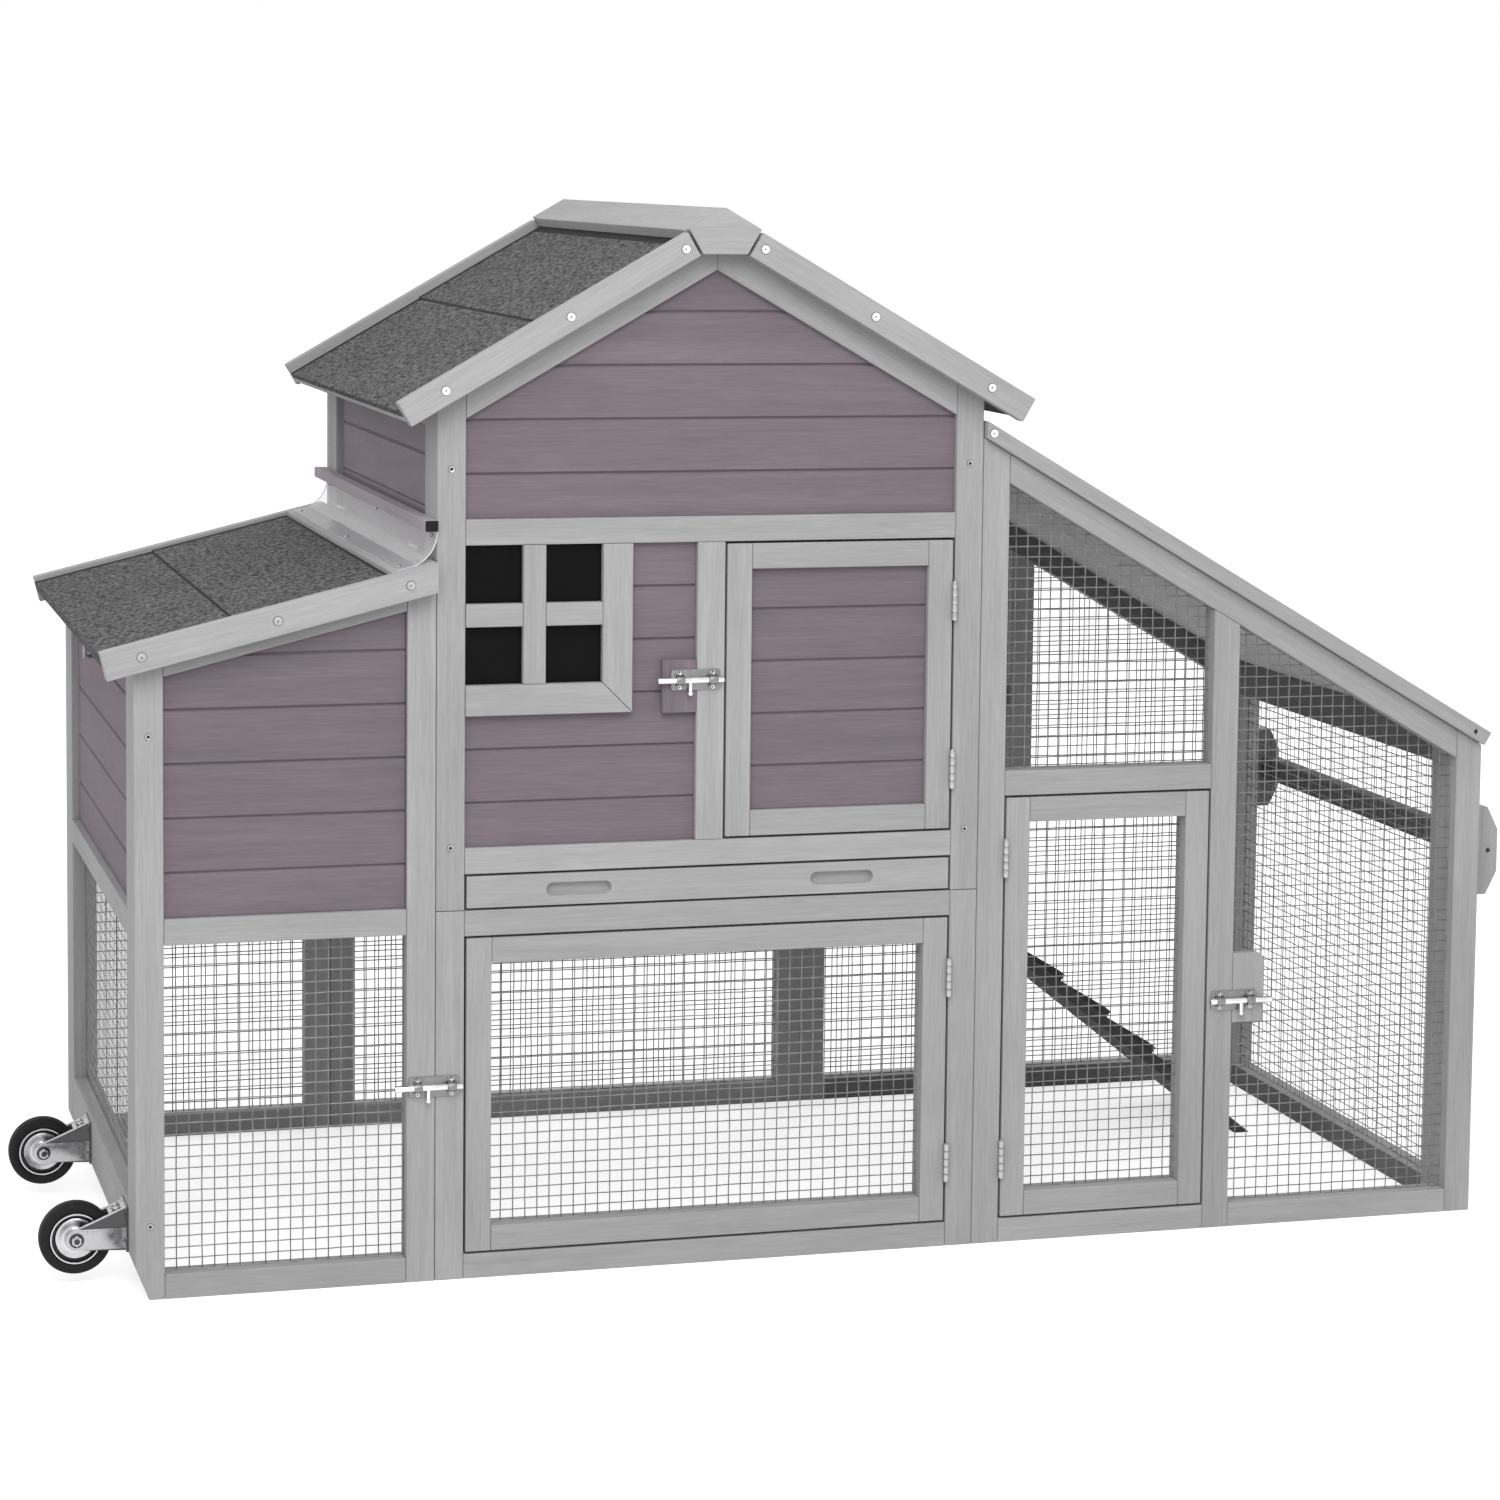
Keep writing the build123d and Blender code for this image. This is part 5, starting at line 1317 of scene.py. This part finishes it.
def stick_line(group):
    """Middles of a stick's two ends, the upper one first."""
    way = longest_way(group)
    middle = sum((v.co for v in group), Vector()) / len(group)
    halves = [[v.co for v in group if (v.co - middle).dot(way) * side > 0.0] for side in SIDES]
    ends = [sum(half, Vector()) / len(half) for half in halves]
    return sorted(ends, key=lambda end: -end.z)


def add_edge_screws(bm, node, shares_of):
    """Adds screws along the sloping edge boards of a roof."""
    boards = node_mesh(node)
    for group in islands(boards):
        low, high = box_of(group)
        upper, lower = stick_line(group)
        y, way = outer_face(low, high)
        for share in shares_of(high.x - low.x):
            place = upper.lerp(lower, share)
            radius, rim = DARK_SCREW if share > EAVE_SHARE else (sizes().edge_screw, EDGE_SCREW_RIM)
            add_screw(bm, (place.x, y, place.z), way, radius, rim)
    boards.free()


def add_post_screws(bm, node, heights, outer_only):
    """Adds screws to the posts of a wall frame."""
    posts = [box for box in solids_of(node) if box[1].z - box[0].z > POST_LENGTH]
    if outer_only:
        posts = [min(posts, key=lambda box: box[0].x)]
    for low, high in posts:
        y, way = outer_face(low, high)
        for z in heights:
            add_screw(bm, ((low.x + high.x) / 2, y, z), way, sizes().screw_head)


class COOP_OT_screws(bpy.types.Operator):
    """Countersunk screws in the roof edges, posts and handle"""
    bl_idname = "coop.screws"
    bl_label = "Screws"

    def execute(self, context):
        fixed = bmesh.new()
        add_edge_screws(fixed, "roof_edge_boards",
                        lambda width: EDGE_SCREWS["run" if width > RUN_EDGE else "barge"])
        posts = bmesh.new()
        for node in ("house_front_frame", "house_back_frame"):
            add_post_screws(posts, node, HOUSE_SCREWS, False)
        for node in ("nest_front_frame", "nest_back_frame"):
            add_post_screws(posts, node, NEST_SCREWS, True)
        bar_low, bar_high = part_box("handle_bar")
        bar = (bar_low + bar_high) / 2
        for low, high in solids_of("handle_plates"):
            y, way = outer_face(low, high)
            add_screw(fixed, (bar.x, y, bar.z), way, *DARK_SCREW)
        lid = bmesh.new()
        add_edge_screws(lid, "nest_lid_trim", lambda width: LID_SCREWS if width > LID_EDGE else ())
        finished_piece(fixed, "edge_screws", "roof_edge_boards", "zinc",
                       finishes=("screw_plate", "screw_recess"))
        finished_piece(posts, "post_screws", "house_front_frame", "zinc",
                       finishes=("zinc", "screw_recess"))
        finished_piece(lid, "lid_screws", "nest_lid_trim", "zinc", finishes=("zinc", "screw_recess"))
        return {"FINISHED"}


# Stage
CAMERA_PLACE = (-1.171, -4.238, 1.172)
CAMERA_YAW = math.radians(15.66)
CAMERA_PITCH = math.radians(-5.36)
CAMERA_ROLL = math.radians(0.61)
CAMERA_LENS = 92.54
CAMERA_SENSOR = 36.0
CAMERA_SHIFT = (0.002, -0.1507)
WHITE = (1.0, 1.0, 1.0, 1.0)
AMBIENT = 0.72                   # strength of the white world as light on the object
FLOOR_REACH = 30.0
FLOOR_TONE = 0.72
FLOOR_GLOW = 0.68                # strength of the floor's own white where it is seen
LAMPS = {                        # place, target, width and power in watts
    "key_lamp": ((-0.6, -2.2, 2.3), (0.0, 0.0, 0.6), 1.8, 29.0),
    "back_lamp": ((1.4, 2.8, 2.6), (0.0, 0.0, 0.5), 2.0, 12.0),
}


def soft_lamp(name, place, target, size, power):
    """A round lamp that the camera doesn't see, aimed at a target."""
    lamp = bpy.data.lights.new(name, "AREA")
    lamp.shape = "DISK"
    lamp.size = size
    lamp.energy = power
    holder = bpy.data.objects.new(name, lamp)
    holder.matrix_world = way_matrix(place, Vector(target) - Vector(place), "-Z")
    holder.visible_camera = False
    bpy.context.scene.collection.objects.link(holder)


def seen_rays(tree):
    """1 for rays from the camera, mirrors and clear pieces, 0 for light on the object."""
    path = add_node(tree, "LightPath")
    total = path.outputs["Is Camera Ray"]
    for name in ("Is Glossy Ray", "Is Transmission Ray"):
        total = combined(tree, "MAXIMUM", total, path.outputs[name])
    return total


def white_world():
    """A world that is white to the eye and lights the object more softly."""
    world = bpy.data.worlds.new("studio")
    bpy.context.scene.world = world
    world.use_nodes = True
    tree = world.node_tree
    strength = add_node(tree, "MapRange", Value=seen_rays(tree), To_Min=AMBIENT, To_Max=1.0)
    put(tree, tree.nodes["Background"], {"Color": WHITE, "Strength": strength.outputs["Result"]})


def pale_floor():
    """A floor that is nearly white to the eye and keeps the object's shadow."""
    bm = bmesh.new()
    bmesh.ops.create_grid(bm, x_segments=1, y_segments=1, size=FLOOR_REACH)
    mesh = bpy.data.meshes.new("floor")
    bm.to_mesh(mesh)
    bm.free()
    finish = Finish("pale_floor")
    glow = finish.times(seen_rays(finish.tree), FLOOR_GLOW)
    finish.set(Base_Color=(FLOOR_TONE, FLOOR_TONE, FLOOR_TONE, 1.0), Roughness=1.0,
               Specular_IOR_Level=0.0, Emission_Color=WHITE, Emission_Strength=glow)
    mesh.materials.append(finish.material)
    floor = bpy.data.objects.new("floor", mesh)
    bpy.context.scene.collection.objects.link(floor)


def photo_camera():
    """A camera at the photograph's viewing angle."""
    ahead = Vector((math.sin(CAMERA_YAW) * math.cos(CAMERA_PITCH),
                    math.cos(CAMERA_YAW) * math.cos(CAMERA_PITCH), math.sin(CAMERA_PITCH)))
    right = Vector((math.cos(CAMERA_YAW), -math.sin(CAMERA_YAW), 0.0))
    up = right.cross(ahead)
    rolled_right = right * math.cos(CAMERA_ROLL) + up * math.sin(CAMERA_ROLL)
    rolled_up = up * math.cos(CAMERA_ROLL) - right * math.sin(CAMERA_ROLL)
    lens = bpy.data.cameras.new("camera")
    lens.lens = CAMERA_LENS
    lens.sensor_fit = "HORIZONTAL"
    lens.sensor_width = CAMERA_SENSOR
    lens.shift_x, lens.shift_y = CAMERA_SHIFT
    camera = bpy.data.objects.new("camera", lens)
    camera.matrix_world = Matrix.Translation(CAMERA_PLACE) @ axes_matrix(rolled_right, rolled_up, -ahead)
    bpy.context.scene.collection.objects.link(camera)
    bpy.context.scene.camera = camera


class COOP_OT_stage(bpy.types.Operator):
    """Pale floor, soft light and the photograph's camera"""
    bl_idname = "coop.stage"
    bl_label = "Stage"

    def execute(self, context):
        context.scene.view_settings.view_transform = "Standard"
        white_world()
        pale_floor()
        for name, values in LAMPS.items():
            soft_lamp(name, *values)
        photo_camera()
        return {"FINISHED"}


OPERATORS = (COOP_OT_stage, COOP_OT_timber, COOP_OT_wire_mesh, COOP_OT_roof_felt, COOP_OT_flashing,
             COOP_OT_sheets, COOP_OT_hinges, COOP_OT_bolts, COOP_OT_casters, COOP_OT_screws)


class COOP_PT_pieces(bpy.types.Panel):
    """Lists the coop's sizes, colours and pieces"""
    bl_idname = "COOP_PT_pieces"
    bl_label = "Chicken coop"
    bl_space_type = "VIEW_3D"
    bl_region_type = "UI"
    bl_category = "Coop"

    def draw(self, context):
        for group in (context.scene.coop_sizes, context.scene.coop_colours):
            for name in group.__annotations__:
                self.layout.prop(group, name)
        for operator in OPERATORS:
            self.layout.operator(operator.bl_idname)


CLASSES = (CoopColours, CoopSizes) + OPERATORS + (COOP_PT_pieces,)


def register():
    for kind in CLASSES:
        bpy.utils.register_class(kind)
    bpy.types.Scene.coop_colours = PointerProperty(type=CoopColours)
    bpy.types.Scene.coop_sizes = PointerProperty(type=CoopSizes)


def unregister():
    del bpy.types.Scene.coop_sizes
    del bpy.types.Scene.coop_colours
    for kind in reversed(CLASSES):
        bpy.utils.unregister_class(kind)


def main():
    register()
    bpy.ops.coop.stage()
    bpy.ops.coop.timber()
    bpy.ops.coop.wire_mesh()
    bpy.ops.coop.roof_felt()
    bpy.ops.coop.flashing()
    bpy.ops.coop.sheets()
    bpy.ops.coop.hinges()
    bpy.ops.coop.bolts()
    bpy.ops.coop.casters()
    bpy.ops.coop.screws()


if __name__ == "__main__":
    main()
